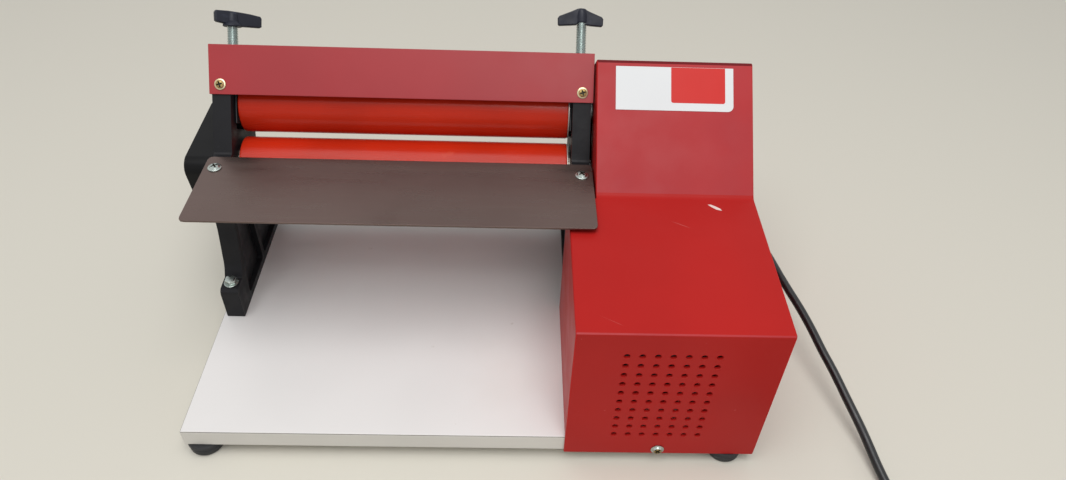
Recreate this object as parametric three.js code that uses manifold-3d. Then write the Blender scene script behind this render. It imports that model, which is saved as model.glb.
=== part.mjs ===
// Dough roller machine: two rollers between cast side frames on a board, driven by a motor in a housing.
// Millimetres, +Z up, the operator stands at -Y. Sizes are measured from the board's top front left corner.
import * as THREE from 'three';
import { mergeVertices } from 'three/addons/utils/BufferGeometryUtils.js';
import Module from 'manifold-3d';

const wasm = await Module();
wasm.setup();

// Clearances and facets
const seatGap = 0.1;            // between flat faces that rest on each other
const turnedGap = 0.3;          // the same where one of the pieces is turned or moves
const shaftGap = 0.3;           // radial, shaft in bush or bore
const overrun = 2;              // how far a cut runs past the face it opens
const weldTolerance = 1e-4;
const roundSteps = 24;
const smallSteps = 12;
const bendSteps = 3;
const rollerSteps = 48;
const loopSteps = 12;

// Corner rounds of castings, sheet and mouldings
const edgeRound = 1;
const smallRound = 2;
const ribRound = 4;
const lugRound = 6;
const castRound = 10;

// Base board and feet
const boardDepth = 320;
const boardThick = 18;
const boardSideGap = 0.8;       // to the housing's right wall
const footTopRadius = 17;
const footBaseRadius = 14.5;
const footHeight = 12;
const footInset = 17;
const floorZ = -boardThick - footHeight;

// Rollers: the face length and diameter set the working width
const rollerFace = 300;
const rollerRadius = 25;
const rollerEndGap = 3;
const rollerChamfer = 1;
const restGap = 4.5;            // roll gap as photographed
const closedGap = 0.5;
const openGap = 8;
const journalRadius = 10;
const lowerProudLeft = 3.1;     // shaft ends past the collar, the frame and the gears
const lowerProudRight = 4;
const upperProudLeft = 1.4;
const upperProudRight = 1;

// Cast side frames, in the plane across the rollers
const frameWidth = 16.3;
const frameLeftX = 4.4;         // outer face of the left frame
const frameWeb = 6;
const frameRim = 7;
const frameFootFront = 130;
const frameFootBack = 292;
const frameLugBack = 148;
const frameLugHeight = 35;
const frameFlange = 14;
const legNeckY = 154;
const legNeckZ = 45;
const legMidY = 163;
const legMidZ = 85;
const ledgeFront = 158;
const ledgeDrop = 20.6;         // of the ledge's underside below the head's foot
const legBackTopY = 282;
const legBackTopZ = 96;
const legBackLowY = 272;
const legBackLowZ = 44;
const ribY = 205;
const legPocketTopZ = 115;
const legPocketBackZ = 92;
const backPocketTopZ = 86;
const lugBoltRadius = 4;
const lugBoltY = 140.5;
const pocketRound = 5;

// Tilted head of the frames: across is measured back from its front face, along runs up its slope
const headTilt = THREE.MathUtils.degToRad(34.8);
const headFootY = 199.9;
const headFootZ = 142.6;
const headDepth = 66;
const headTop = 79;
const headHeelAlong = 10;
const nipAlong = 16.35;
const rollerAcross = 33;
const slotWidth = 38;
const slotFloorAlong = 20.5;
const bushOuterRadius = 14;
const bushFlangeRadius = 18;
const bushFlange = 1.5;

// Tie bar between the frames
const tieRadius = 8;
const tieTenonRadius = 5;
const tieBossRadius = 11;
const tieInset = 10;            // from the lower end of the back leg's outline
const tieZ = 30;

// Feed tray
const trayOverhang = 1.7;       // past the outer face of each frame
const trayFront = 104.4;
const trayBack = 191.9;
const trayThick = 2;
const trayRise = 0.4;           // of its top above the head's foot
const trayCorner = 5;
const trayScrewY = 175.2;
const trayScrewRadius = 2.5;
const trayScrewDepth = 8;

// Guard sheet over the upper roller
const guardLow = 50.8;
const guardHigh = 94.4;
const guardThick = 1.5;
const guardSide = 18;
const guardReturn = 8;
const guardScrewAlong = 59.5;
const guardScrewRadius = 2.5;
const guardScrewDepth = 8;

// Bearing blocks, caps, adjusting screws and knobs
const blockWidth = 37.4;
const blockHeight = 36;
const blockLip = 1.5;
const blockLipWidth = 46;
const capHeight = 9;
const capBoltRadius = 4;
const capBoltHeight = 3.5;
const capBoltInset = 7;
const screwRadius = 4.9;
const knobAlongLeft = 111;
const knobAlongRight = 122;
const knobSpan = 43;
const knobHeightLeft = 13;     // at the middle; the left knob is nearly flat on top
const knobHeightRight = 18;
const knobWingHeight = 10.5;
const knobThick = 9;
const knobHubRadius = 8;
const knobHubSink = 1;          // of the hub's top below the wings at the middle
const knobDropLeft = 3;         // of the hub below the wings
const knobDropRight = 1;
const knobBite = 9;
const knobTipShare = 0.33;
const knobTurnLeft = THREE.MathUtils.degToRad(33);
const knobTurnRight = THREE.MathUtils.degToRad(-8);

// Left end cover
const coverDepth = 24.4;
const coverFront = 182;
const coverBack = 288;
const coverLow = 60;
const coverDrop = 2;            // of its top below the head's foot
const coverRake = 12;
const coverWall = 1.5;
const coverCorner = 12;
const coverEdge = 4;
const collarRadius = 16;
const collarWidth = 7;

// Motor housing
const housingSheet = 1.2;
const housingLap = 5;           // of its low front box in front of the right frame
const housingSideSpace = 17;    // from the pulleys to the outside of the right wall
const housingFront = -2.3;
const housingStepGap = 3.2;     // from the right frame to the rear part
const housingStepY = 150;
const housingTopDrop = 7.6;     // of the low top below the head's foot
const housingBendY = 153.6;
const housingBendDrop = 4.6;
const housingPeakY = 243.4;
const housingPeakRise = 78.2;   // of the peak above the head's foot
const housingBackInset = 18;    // of its back wall from the board's back edge
const housingBackSpace = 12;    // least space behind the big pulley
const housingShoulderRise = 29.4;
const housingSkirt = 18;        // how far it laps down over the board's edge
const housingCorner = 3;
const housingShaftGap = 3;
const footNotchZ = 52;
const ventRows = 10;
const ventColumns = 7;
const ventRadius = 2.75;
const ventInset = 40.3;         // of the first column and of the screw from the left side
const ventLow = 9.2;
const ventPitchX = 11.7;
const ventPitchZ = 11.2;
const ventSides = 8;
const housingScrewInset = 79.7;
const housingScrewZ = -12;
const housingScrewRadius = 2.2;

// Long-tooth gears that couple the rollers
const rollGearTeeth = 13;
const rollGearTip = 29.6;
const rollGearRoot = 19.3;
const rollGearFace = 20;
const rollGearGap = 8;          // from the right frame
const rollGearThickShare = 0.80;
const rollFlankSteps = 4;

// Reduction: bull gear on the lower roller, pinion and pulley on the countershaft
const gearModule = 1.5;
const bullTeeth = 64;
const pinionTeeth = 14;
const addendumShare = 1;
const dedendumShare = 1.25;
const toothThickShare = 0.88;
const pressureAngle = THREE.MathUtils.degToRad(20);
const flankSteps = 1;
const bullFace = 14;
const driveSpacing = 9;         // along the shafts, between gears, bracket and pulleys
const bullWeb = 6;
const bullHub = 17;
const bullRim = 6;
const counterDrop = 57;
const counterRadius = 6;
const bracketPlate = 6;
const bracketSpan = 34;
const bracketTopRadius = 15;
const bracketFootDepth = 70;
const bigPulleyRadius = 48;     // at the middle of the belt
const smallPulleyRadius = 16;
const beltThick = 6;
const beltWidth = 8;
const pulleyWidth = 16;
const pulleyWeb = 6;
const pulleyRim = 5;
const pulleyHub = 13;
const pulleyLip = 2;
const grooveFloor = 9;
const grooveMouth = 12;

// Motor
const motorY = 75;
const motorZ = 66;
const motorRadius = 52;
const motorInset = 16.3;        // of its body from the left side of the housing
const motorLength = 96;
const bellLength = 13;
const bellRadius = 47;
const bellNose = 18;
const motorShaftRadius = 7;
const motorPulleyGap = 5;
const motorFins = 24;
const finDepth = 2.5;
const saddleLength = 70;
const saddleWidth = 84;
const saddleBase = 5;
const saddleWall = 10;
const capacitorRadius = 16;
const capacitorLength = 72;
const capacitorInset = 14;      // from the left end of the motor's body
const capacitorY = 136;

// Switch on the right wall
const switchY = 58;
const switchZ = 92;
const switchLong = 30;
const switchHigh = 22;
const switchProud = 2;
const switchFlange = 2.5;
const switchBody = 14;
const rockerLong = 24;
const rockerHigh = 12;
const rockerProud = 3;
const rockerDepth = 9;
const rockerDish = 2;
const rockerGap = 0.8;
const rockerPivotIn = 4;
const rockerWell = 8;
const rockerTilt = THREE.MathUtils.degToRad(-10);

// Mains cord: gland, free run, coil, tie and plug
const cordRadius = 4;
const cordSides = 8;
const cordStepLength = 18;
const cordGap = 0.3;
const glandY = 240;
const glandZ = 24.5;
const glandFlange = 11;
const glandFlangeThick = 4;
const glandLength = 12.5;
const glandTipRadius = 5.4;
const glandBaseRadius = 8;
const glandRibs = 3;
const glandGroove = 1;
const coilReach = 115;          // from the housing's right wall to the cord where it enters the coil
const coilY = -112;
const coilTurns = 4;
const coilMeanRadius = 46;
const coilPitch = 8.8;
const coilSteps = 24;
const coilSides = 6;
const coilSamples = 120;        // points a turn when the least gap is measured
const tieLength = 9;
const tieThick = 1.2;
const tieSlack = 0.8;
const tailLength = 36;
const tailOffset = 6;
const plugLength = 34;
const plugWidth = 27;
const plugRelief = 20;
const plugReliefRadius = 9;
const plugPinRadius = 2.4;
const plugPinLength = 19;
const plugPinSpacing = 19;

// Fasteners that show
const panHeadRadius = 6;
const panHeadHeight = 3;
const panCrown = 1.2;
const washerRadius = 6.5;
const washerThick = 1;
const lugHeadRadius = 5.4;
const lugHeadHeight = 4.5;
const hexSides = 6;
const driveRadius = 2;
const driveDepth = 1.4;

// Places that follow from the sizes above
const frameInnerLeft = frameLeftX + frameWidth;
const frameInnerRight = frameInnerLeft + rollerFace + 2 * rollerEndGap;
const frameRightX = frameInnerRight + frameWidth;
const frameOuterFaces = [frameLeftX, frameInnerRight];
const rollerLeft = frameInnerLeft + rollerEndGap;
const rollerRight = rollerLeft + rollerFace;
const centreRest = 2 * rollerRadius + restGap;
const centreClosed = 2 * rollerRadius + closedGap;
const lowerAlong = nipAlong - centreRest / 2;
const upperAlong = nipAlong + centreRest / 2;
const gapUp = openGap - restGap;
const trayTop = headFootZ + trayRise;
const trayLeft = frameLeftX - trayOverhang;
const trayRight = frameRightX + trayOverhang;
const ledgeTopZ = trayTop - trayThick - seatGap;
const ledgeUnderZ = headFootZ - ledgeDrop;
const coverLeft = frameLeftX - coverDepth;
const coverTop = headFootZ - coverDrop;
const rollGearX = frameRightX + rollGearGap;
const bullX = rollGearX + rollGearFace + driveSpacing;
const bracketX = bullX + bullFace + driveSpacing;
const bracketEnd = bracketX + bracketSpan + bracketPlate;
const tieY = legBackLowY - tieInset;
const housingLeft = frameInnerRight - housingLap;
const motorX = housingLeft + motorInset;
const motorEnd = motorX + motorLength + bellLength;
const pulleyX = Math.max(bracketEnd + driveSpacing, motorEnd + motorPulleyGap);
const capacitorX = motorX + capacitorInset;
const housingRight = pulleyX + pulleyWidth + housingSideSpace;
const housingStepX = frameRightX + housingStepGap;
const housingTopZ = headFootZ - housingTopDrop;
const housingBendZ = headFootZ - housingBendDrop;
const housingPeakZ = headFootZ + housingPeakRise;
const housingShoulderZ = headFootZ + housingShoulderRise;
const housingScrewX = housingLeft + housingScrewInset;
const ventLeft = housingLeft + ventInset;
const boardWidth = housingRight - housingSheet - boardSideGap;
const lowerShaftLeft = frameLeftX - turnedGap - collarWidth - lowerProudLeft;
const lowerShaftRight = bullX + bullFace + lowerProudRight;
const upperShaftLeft = frameLeftX - upperProudLeft;
const upperShaftRight = rollGearX + rollGearFace + upperProudRight;
const coilEntryX = housingRight + coilReach;
const boredShaft = journalRadius + seatGap;
const at = (first, second) => new THREE.Vector2(first, second);

function headPoint(across, along) {
  return at(across, along).rotateAround(at(0, 0), -headTilt).add(at(headFootY, headFootZ));
}

const lowerAxis = headPoint(rollerAcross, lowerAlong);
const upperAxis = headPoint(rollerAcross, upperAlong);
const motorAxis = at(motorY, motorZ);
const counterReach = gearModule * (bullTeeth + pinionTeeth) / 2;
const counterAxis = lowerAxis.clone().add(at(Math.sqrt(counterReach ** 2 - counterDrop ** 2), -counterDrop));
const pulleyReach = counterAxis.x + bigPulleyRadius + beltThick / 2 + pulleyLip;
const housingBack = Math.max(boardDepth - housingBackInset, pulleyReach + housingBackSpace);

// Materials: colour, roughness, metalness
function finish(color, roughness, metalness) {
  return new THREE.MeshStandardMaterial({ color, roughness, metalness });
}
const redPaint = () => finish(0xb02a28, 0.42, 0);
const blackCasting = () => finish(0x24252a, 0.6, 0.1);
const rollerRed = () => finish(0xc4301c, 0.22, 0);
const steel = () => finish(0x8e8c8a, 0.35, 1);
const trayTin = () => finish(0x6e6058, 0.45, 0.7);
const zinc = () => finish(0xb9bdbb, 0.3, 1);
const bronze = () => finish(0xa27a44, 0.4, 1);
const blackRubber = () => finish(0x1b1c1f, 0.8, 0);
const knobPlastic = () => finish(0x2d3240, 0.5, 0);
const whiteLaminate = () => finish(0xe4e4e2, 0.4, 0);
const motorGrey = () => finish(0x5b6068, 0.5, 0.4);

// Solid and geometry helpers
function solidOf(geometry) {
  const bare = geometry.clone();
  bare.deleteAttribute('normal');
  bare.deleteAttribute('uv');
  const merged = mergeVertices(bare, weldTolerance);
  const index = Array.from(merged.index.array);
  const faces = Array.from({ length: index.length / 3 }, (_, face) => index.slice(3 * face, 3 * face + 3));
  const sound = faces.filter(([a, b, c]) => a !== b && b !== c && c !== a);
  const vertProperties = new Float32Array(merged.attributes.position.array);
  const triVerts = new Uint32Array(sound.flat());
  return new wasm.Manifold(new wasm.Mesh({ numProp: 3, vertProperties, triVerts }));
}

function geometryOf(solid) {
  const mesh = solid.getMesh();
  const geometry = new THREE.BufferGeometry();
  geometry.setAttribute('position', new THREE.BufferAttribute(new Float32Array(mesh.vertProperties), 3));
  geometry.setIndex(new THREE.BufferAttribute(new Uint32Array(mesh.triVerts), 1));
  geometry.computeVertexNormals();
  return geometry;
}

function joined(first, ...others) {
  return geometryOf(others.reduce((solid, other) => solid.add(solidOf(other)), solidOf(first)));
}

function cut(first, ...tools) {
  return geometryOf(tools.reduce((solid, tool) => solid.subtract(solidOf(tool)), solidOf(first)));
}

function box(lowX, highX, lowY, highY, lowZ, highZ) {
  const geometry = new THREE.BoxGeometry(highX - lowX, highY - lowY, highZ - lowZ);
  geometry.translate((lowX + highX) / 2, (lowY + highY) / 2, (lowZ + highZ) / 2);
  return geometry;
}

// Cylinders along X, Y and Z, each from one place to another about a point of the plane across it
function barX(radius, lowX, highX, centre, steps = roundSteps) {
  const geometry = new THREE.CylinderGeometry(radius, radius, highX - lowX, steps);
  geometry.rotateZ(-Math.PI / 2);
  geometry.translate((lowX + highX) / 2, centre.x, centre.y);
  return geometry;
}

function barY(radius, lowY, highY, centre, steps = smallSteps) {
  const geometry = new THREE.CylinderGeometry(radius, radius, highY - lowY, steps);
  geometry.translate(centre.x, (lowY + highY) / 2, centre.y);
  return geometry;
}

function barZ(radius, lowZ, highZ, centre, steps = smallSteps) {
  const geometry = new THREE.CylinderGeometry(radius, radius, highZ - lowZ, steps);
  geometry.rotateX(Math.PI / 2);
  geometry.translate(centre.x, centre.y, (lowZ + highZ) / 2);
  return geometry;
}

// An outline of the y-z plane given thickness along X
function slabX(shape, lowX, highX, curveSegments = bendSteps) {
  const depth = highX - lowX;
  const geometry = new THREE.ExtrudeGeometry(shape, { depth, bevelEnabled: false, curveSegments });
  geometry.applyMatrix4(new THREE.Matrix4().makeBasis(
    new THREE.Vector3(0, 1, 0), new THREE.Vector3(0, 0, 1), new THREE.Vector3(1, 0, 0)));
  geometry.translate(lowX, 0, 0);
  return geometry;
}

// A revolved profile of [distance along the axis, radius] pairs, first about +Z at the origin
function turnedZ(profile, steps = roundSteps) {
  const points = profile.map(([along, radius]) => at(radius, along));
  if (THREE.ShapeUtils.area(points) < 0) {
    points.reverse();
  }
  const geometry = new THREE.LatheGeometry(points, steps);
  geometry.rotateX(Math.PI / 2);
  return geometry;
}

function turnedX(profile, centre, steps = roundSteps) {
  const geometry = turnedZ(profile, steps);
  geometry.rotateY(Math.PI / 2);
  geometry.translate(0, centre.x, centre.y);
  return geometry;
}

function ringX(innerRadius, outerRadius, lowX, highX, centre) {
  return turnedX([
    [lowX, innerRadius], [lowX, outerRadius], [highX, outerRadius], [highX, innerRadius],
    [lowX, innerRadius]], centre);
}

// A closed outline whose corners are rounded with the radius given at each of them
function roundedShape(corners) {
  const shape = new THREE.Shape();
  const count = corners.length;
  corners.forEach(([point, radius], index) => {
    const toBefore = corners[(index + count - 1) % count][0].clone().sub(point);
    const toAfter = corners[(index + 1) % count][0].clone().sub(point);
    const reach = Math.min(radius, toBefore.length() / 2, toAfter.length() / 2);
    const start = point.clone().add(toBefore.setLength(reach));
    const end = point.clone().add(toAfter.setLength(reach));
    if (index === 0) {
      shape.moveTo(start.x, start.y);
    } else {
      shape.lineTo(start.x, start.y);
    }
    if (reach > 0) {
      shape.quadraticCurveTo(point.x, point.y, end.x, end.y);
    }
  });
  shape.closePath();
  return shape;
}

// The same corners moved in from every edge; they run anticlockwise
function insetCorners(corners, distance) {
  const count = corners.length;
  const inward = (from, to) => to.clone().sub(from).normalize().rotateAround(at(0, 0), Math.PI / 2);
  return corners.map(([point, radius], index) => {
    const before = inward(corners[(index + count - 1) % count][0], point);
    const both = before.add(inward(point, corners[(index + 1) % count][0]));
    const moved = point.clone().addScaledVector(both, 2 * distance / both.lengthSq());
    return [moved, Math.max(radius - distance, 0)];
  });
}

// From the head's own frame, with across along +Y and along up +Z, to the board's
function inHead(geometry) {
  geometry.rotateX(-headTilt);
  geometry.translate(0, headFootY, headFootZ);
  return geometry;
}

const middleOf = (outerX) => outerX + frameWidth / 2;

// Base board and feet
function baseBoard() {
  return box(0, boardWidth, 0, boardDepth, -boardThick, 0);
}

function rubberFoot(x, y) {
  const top = footHeight - seatGap;
  const foot = turnedZ([[0, 0], [0, footBaseRadius], [top, footTopRadius], [top, 0]]);
  foot.translate(x, y, floorZ);
  return foot;
}

// Side frame casting: the outline runs up the front, over the head and down the back
function frameOutline() {
  const headFootAlong = (ledgeTopZ - headFootZ) / Math.cos(headTilt);
  return roundedShape([
    [at(frameFootFront, seatGap), edgeRound],
    [at(frameFootFront, frameLugHeight), lugRound],
    [at(frameLugBack, frameLugHeight), edgeRound],
    [at(legNeckY, legNeckZ), ribRound],
    [at(legMidY, legMidZ), castRound],
    [at(legMidY, ledgeUnderZ), castRound],
    [at(ledgeFront, ledgeUnderZ + frameRim), smallRound],
    [at(ledgeFront, ledgeTopZ), edgeRound],
    [headPoint(0, headFootAlong), smallRound],
    [headPoint(0, headTop), edgeRound],
    [headPoint(headDepth, headTop), edgeRound],
    [headPoint(headDepth, headHeelAlong), castRound],
    [at(legBackTopY, legBackTopZ), castRound],
    [at(legBackLowY, legBackLowZ), castRound],
    [at(frameFootBack - frameFlange, frameFlange), ribRound],
    [at(frameFootBack, frameFlange), ribRound],
    [at(frameFootBack, seatGap), edgeRound]]);
}

// Pockets from both faces leave a web, a rim round it and a rib up the middle
function framePockets() {
  const ribBack = ribY + frameRim;
  const front = roundedShape([
    [at(frameLugBack + frameRim, frameRim), pocketRound],
    [at(legNeckY + frameRim, legNeckZ), pocketRound],
    [at(legMidY + frameRim, legMidZ), pocketRound],
    [at(legMidY + frameRim, legPocketTopZ), pocketRound],
    [at(ribY, legPocketBackZ), pocketRound],
    [at(ribY, frameRim), pocketRound]]);
  const back = roundedShape([
    [at(ribBack, frameRim), pocketRound],
    [at(ribBack, backPocketTopZ), pocketRound],
    [at(legBackTopY - frameFlange, backPocketTopZ), pocketRound],
    [at(legBackLowY - frameRim, legBackLowZ), pocketRound],
    [at(legBackLowY - frameRim, frameRim), pocketRound]]);
  return [front, back];
}

function sideFrame(outerX) {
  const innerX = outerX + frameWidth;
  const middle = middleOf(outerX);
  const pocketDepth = (frameWidth - frameWeb) / 2;
  const slotLow = rollerAcross - slotWidth / 2;
  const slotHigh = rollerAcross + slotWidth / 2;
  const slot = roundedShape([
    [headPoint(slotLow, slotFloorAlong), smallRound], [headPoint(slotLow, headTop + overrun), 0],
    [headPoint(slotHigh, headTop + overrun), 0], [headPoint(slotHigh, slotFloorAlong), smallRound]]);
  const pockets = framePockets().flatMap((shape) => [
    slabX(shape, outerX - overrun, outerX + pocketDepth),
    slabX(shape, innerX - pocketDepth, innerX + overrun)]);
  const casting = joined(
    cut(slabX(frameOutline(), outerX, innerX), ...pockets),
    barX(tieBossRadius, outerX, innerX, at(tieY, tieZ)));
  return cut(
    casting,
    slabX(slot, outerX - overrun, innerX + overrun),
    barX(bushOuterRadius + seatGap, outerX - overrun, innerX + overrun, lowerAxis),
    barX(tieTenonRadius + seatGap, outerX - overrun, innerX + overrun, at(tieY, tieZ), smallSteps),
    barZ(lugBoltRadius + seatGap, -overrun, frameLugHeight + overrun, at(middle, lugBoltY)),
    barZ(trayScrewRadius, ledgeTopZ - trayScrewDepth, ledgeTopZ + overrun, at(middle, trayScrewY)),
    inHead(barY(guardScrewRadius, -overrun, guardScrewDepth, at(middle, guardScrewAlong))));
}

function tieBar() {
  return turnedX([
    [frameLeftX, 0], [frameLeftX, tieTenonRadius],
    [frameInnerLeft + seatGap, tieTenonRadius], [frameInnerLeft + seatGap, tieRadius],
    [frameInnerRight - seatGap, tieRadius], [frameInnerRight - seatGap, tieTenonRadius],
    [frameRightX, tieTenonRadius], [frameRightX, 0]], at(tieY, tieZ), smallSteps);
}

// Feed tray on the ledges of the frames
function feedTray() {
  const low = trayTop - trayThick;
  const shape = roundedShape([
    [at(trayLeft, trayFront), trayCorner], [at(trayRight, trayFront), trayCorner],
    [at(trayRight, trayBack), trayCorner], [at(trayLeft, trayBack), trayCorner]]);
  const sheet = new THREE.ExtrudeGeometry(shape, {
    depth: trayThick, bevelEnabled: false, curveSegments: bendSteps });
  sheet.translate(0, 0, low);
  const holes = frameOuterFaces.map((outerX) => barZ(
    trayScrewRadius, low - overrun, trayTop + overrun, at(middleOf(outerX), trayScrewY)));
  return cut(sheet, ...holes);
}

// Guard sheet: a front face with a side flange at each end and a return along the top
function guardSheet() {
  const left = frameLeftX - turnedGap - guardThick;
  const right = frameRightX + turnedGap + guardThick;
  const back = -turnedGap;
  const front = back - guardThick;
  const space = box(
    left + guardThick, right - guardThick, back, guardSide + overrun,
    guardLow - overrun, guardHigh - guardThick);
  const topSpace = box(
    left + guardThick, right - guardThick, back + guardReturn, guardSide + overrun,
    guardLow - overrun, guardHigh + overrun);
  const holes = frameOuterFaces.map((outerX) => barY(
    guardScrewRadius, front - overrun, back + overrun, at(middleOf(outerX), guardScrewAlong)));
  return inHead(cut(box(left, right, front, guardSide, guardLow, guardHigh), space, topSpace, ...holes));
}

// Cap that closes a head and guides its adjusting screw
function headCap(outerX) {
  const low = headTop + turnedGap;
  const high = low + capHeight;
  const plate = box(outerX, outerX + frameWidth, turnedGap, headDepth - turnedGap, low, high);
  const bolts = [capBoltInset, headDepth - capBoltInset].map((across) => barZ(
    capBoltRadius, low + capHeight / 2, high + capBoltHeight, at(middleOf(outerX), across), hexSides));
  const screwPlace = at(middleOf(outerX), rollerAcross);
  const bore = barZ(screwRadius + shaftGap, low - overrun, high + overrun, screwPlace);
  return inHead(cut(joined(plate, ...bolts), bore));
}

// Bearing block of the upper roller, with a lip that bears on the inner face of its frame
function bearingBlock(outerX, innerSign) {
  const low = upperAlong - blockHeight / 2;
  const high = upperAlong + blockHeight / 2;
  const middle = middleOf(outerX);
  const reach = innerSign * (frameWidth / 2 + turnedGap);
  const lipEnds = [middle + reach, middle + reach + innerSign * blockLip].sort((a, b) => a - b);
  const bodyEnds = [middle - innerSign * frameWidth / 2, lipEnds[0], lipEnds[1]].sort((a, b) => a - b);
  const body = box(
    bodyEnds[0], bodyEnds[2], rollerAcross - blockWidth / 2, rollerAcross + blockWidth / 2, low, high);
  const lip = box(
    lipEnds[0], lipEnds[1], rollerAcross - blockLipWidth / 2, rollerAcross + blockLipWidth / 2, low, high);
  const bore = barX(
    journalRadius + shaftGap, bodyEnds[0] - overrun, bodyEnds[2] + overrun, at(rollerAcross, upperAlong));
  return inHead(cut(joined(body, lip), bore));
}

// Adjusting screw from the block up through the cap into its knob
function adjustingScrew(outerX, knobAlong) {
  const low = upperAlong + blockHeight / 2 + turnedGap;
  return inHead(barZ(
    screwRadius, low, knobAlong + knobBite - turnedGap, at(middleOf(outerX), rollerAcross), roundSteps / 2));
}

// Two-wing knob: a side profile crossed with a swept plan, on a round hub with a blind socket
function wingKnob(outerX, knobAlong, height, drop, turn) {
  const half = knobSpan / 2;
  const tip = knobThick * knobTipShare;
  const profile = roundedShape([
    [at(-half, 0), edgeRound], [at(half, 0), edgeRound], [at(half, knobWingHeight), ribRound],
    [at(0, height), castRound], [at(-half, knobWingHeight), ribRound]]);
  const side = new THREE.ExtrudeGeometry(profile, {
    depth: knobSpan, bevelEnabled: false, curveSegments: 2 * bendSteps });
  side.translate(0, 0, -half);
  side.rotateX(Math.PI / 2);
  const plan = roundedShape([
    [at(-half, -tip), smallRound], [at(knobHubRadius, -knobThick / 2), castRound],
    [at(half, -tip / 2), smallRound], [at(half, tip), smallRound],
    [at(-knobHubRadius, knobThick / 2), castRound], [at(-half, tip / 2), smallRound]]);
  const over = new THREE.ExtrudeGeometry(plan, {
    depth: height, bevelEnabled: false, curveSegments: 2 * bendSteps });
  const wings = geometryOf(solidOf(side).intersect(solidOf(over)));
  const hub = barZ(knobHubRadius, -drop, height - knobHubSink, at(0, 0), roundSteps / 2);
  const socket = barZ(screwRadius + turnedGap, -drop - overrun, knobBite, at(0, 0), roundSteps / 2);
  const knob = cut(joined(wings, hub), socket);
  knob.rotateZ(turn);
  knob.translate(middleOf(outerX), rollerAcross, knobAlong);
  return inHead(knob);
}

// Rollers: a coated sleeve on a steel shaft
function rollerSleeve(centre) {
  return turnedX([
    [rollerLeft, boredShaft], [rollerLeft, rollerRadius - rollerChamfer],
    [rollerLeft + rollerChamfer, rollerRadius], [rollerRight - rollerChamfer, rollerRadius],
    [rollerRight, rollerRadius - rollerChamfer], [rollerRight, boredShaft], [rollerLeft, boredShaft]],
  centre, rollerSteps);
}

function rollerShaft(centre, lowX, highX) {
  return turnedX([
    [lowX, 0], [lowX, journalRadius - rollerChamfer], [lowX + rollerChamfer, journalRadius],
    [highX - rollerChamfer, journalRadius], [highX, journalRadius - rollerChamfer], [highX, 0]], centre);
}

function lowerBush(outerX, innerSign) {
  const middle = middleOf(outerX);
  const start = middle - innerSign * frameWidth / 2;
  const flange = middle + innerSign * (frameWidth / 2 + seatGap);
  const end = flange + innerSign * bushFlange;
  const bore = journalRadius + shaftGap;
  return turnedX([
    [start, bore], [start, bushOuterRadius], [flange, bushOuterRadius], [flange, bushFlangeRadius],
    [end, bushFlangeRadius], [end, bore], [start, bore]], lowerAxis);
}

function shaftCollar() {
  const right = frameLeftX - turnedGap;
  return ringX(boredShaft, collarRadius, right - collarWidth, right, lowerAxis);
}

// Involute gear outline about the origin of the y-z plane, one tooth pointing along the given angle
function gearOutline(gear, toothAngle) {
  const baseRadius = gear.pitch * Math.cos(pressureAngle);
  const involute = (angle) => Math.tan(angle) - angle;
  const halfAngle = (radius) => {
    const slope = Math.acos(Math.min(1, baseRadius / radius));
    return gear.thick / (2 * gear.pitch) + involute(pressureAngle) - involute(slope);
  };
  const low = Math.max(baseRadius, gear.root);
  const flank = Array.from(
    { length: gear.steps + 1 }, (_, step) => THREE.MathUtils.lerp(low, gear.tip, step / gear.steps));
  const radii = low > gear.root ? [gear.root, ...flank] : flank;
  const points = [];
  for (let tooth = 0; tooth < gear.teeth; tooth += 1) {
    const middle = toothAngle + tooth * 2 * Math.PI / gear.teeth;
    const rising = radii.map((radius) => [radius, middle - halfAngle(radius)]);
    const falling = radii.map((radius) => [radius, middle + halfAngle(radius)]).reverse();
    [...rising, ...falling].forEach(([radius, angle]) => {
      points.push(at(radius, 0).rotateAround(at(0, 0), angle));
    });
  }
  return new THREE.Shape(points);
}

const rollGear = {
  teeth: rollGearTeeth, pitch: centreClosed / 2, tip: rollGearTip, root: rollGearRoot, steps: rollFlankSteps,
  thick: Math.PI * centreClosed / rollGearTeeth / 2 * rollGearThickShare };

function standardGear(teeth) {
  const pitch = gearModule * teeth / 2;
  return {
    teeth, pitch, tip: pitch + gearModule * addendumShare, root: pitch - gearModule * dedendumShare,
    thick: Math.PI * gearModule / 2 * toothThickShare, steps: flankSteps };
}

function gearX(gear, toothAngle, lowX, face, centre, boreRadius) {
  const blank = slabX(gearOutline(gear, toothAngle), lowX, lowX + face);
  blank.translate(0, centre.x, centre.y);
  return cut(blank, barX(boreRadius, lowX - overrun, lowX + face + overrun, centre));
}

const alongAngle = Math.PI / 2 - headTilt;
const counterAngle = counterAxis.clone().sub(lowerAxis).angle();

function lowerRollGear() {
  return gearX(rollGear, alongAngle, rollGearX, rollGearFace, lowerAxis, boredShaft);
}

function upperRollGear() {
  const gapAngle = alongAngle + Math.PI + Math.PI / rollGearTeeth;
  return gearX(rollGear, gapAngle, rollGearX, rollGearFace, upperAxis, boredShaft);
}

function bullGear() {
  const gear = standardGear(bullTeeth);
  const side = (bullFace - bullWeb) / 2;
  const rim = gear.root - bullRim;
  return cut(
    gearX(gear, counterAngle, bullX, bullFace, lowerAxis, boredShaft),
    ringX(bullHub, rim, bullX - overrun, bullX + side, lowerAxis),
    ringX(bullHub, rim, bullX + bullFace - side, bullX + bullFace + overrun, lowerAxis));
}

function pinion() {
  const gapAngle = counterAngle + Math.PI + Math.PI / pinionTeeth;
  return gearX(standardGear(pinionTeeth), gapAngle, bullX, bullFace, counterAxis, counterRadius + seatGap);
}

// Countershaft and its bracket
function counterShaft() {
  return barX(counterRadius, bullX - rollerChamfer, pulleyX + pulleyWidth + rollerChamfer, counterAxis);
}

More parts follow.
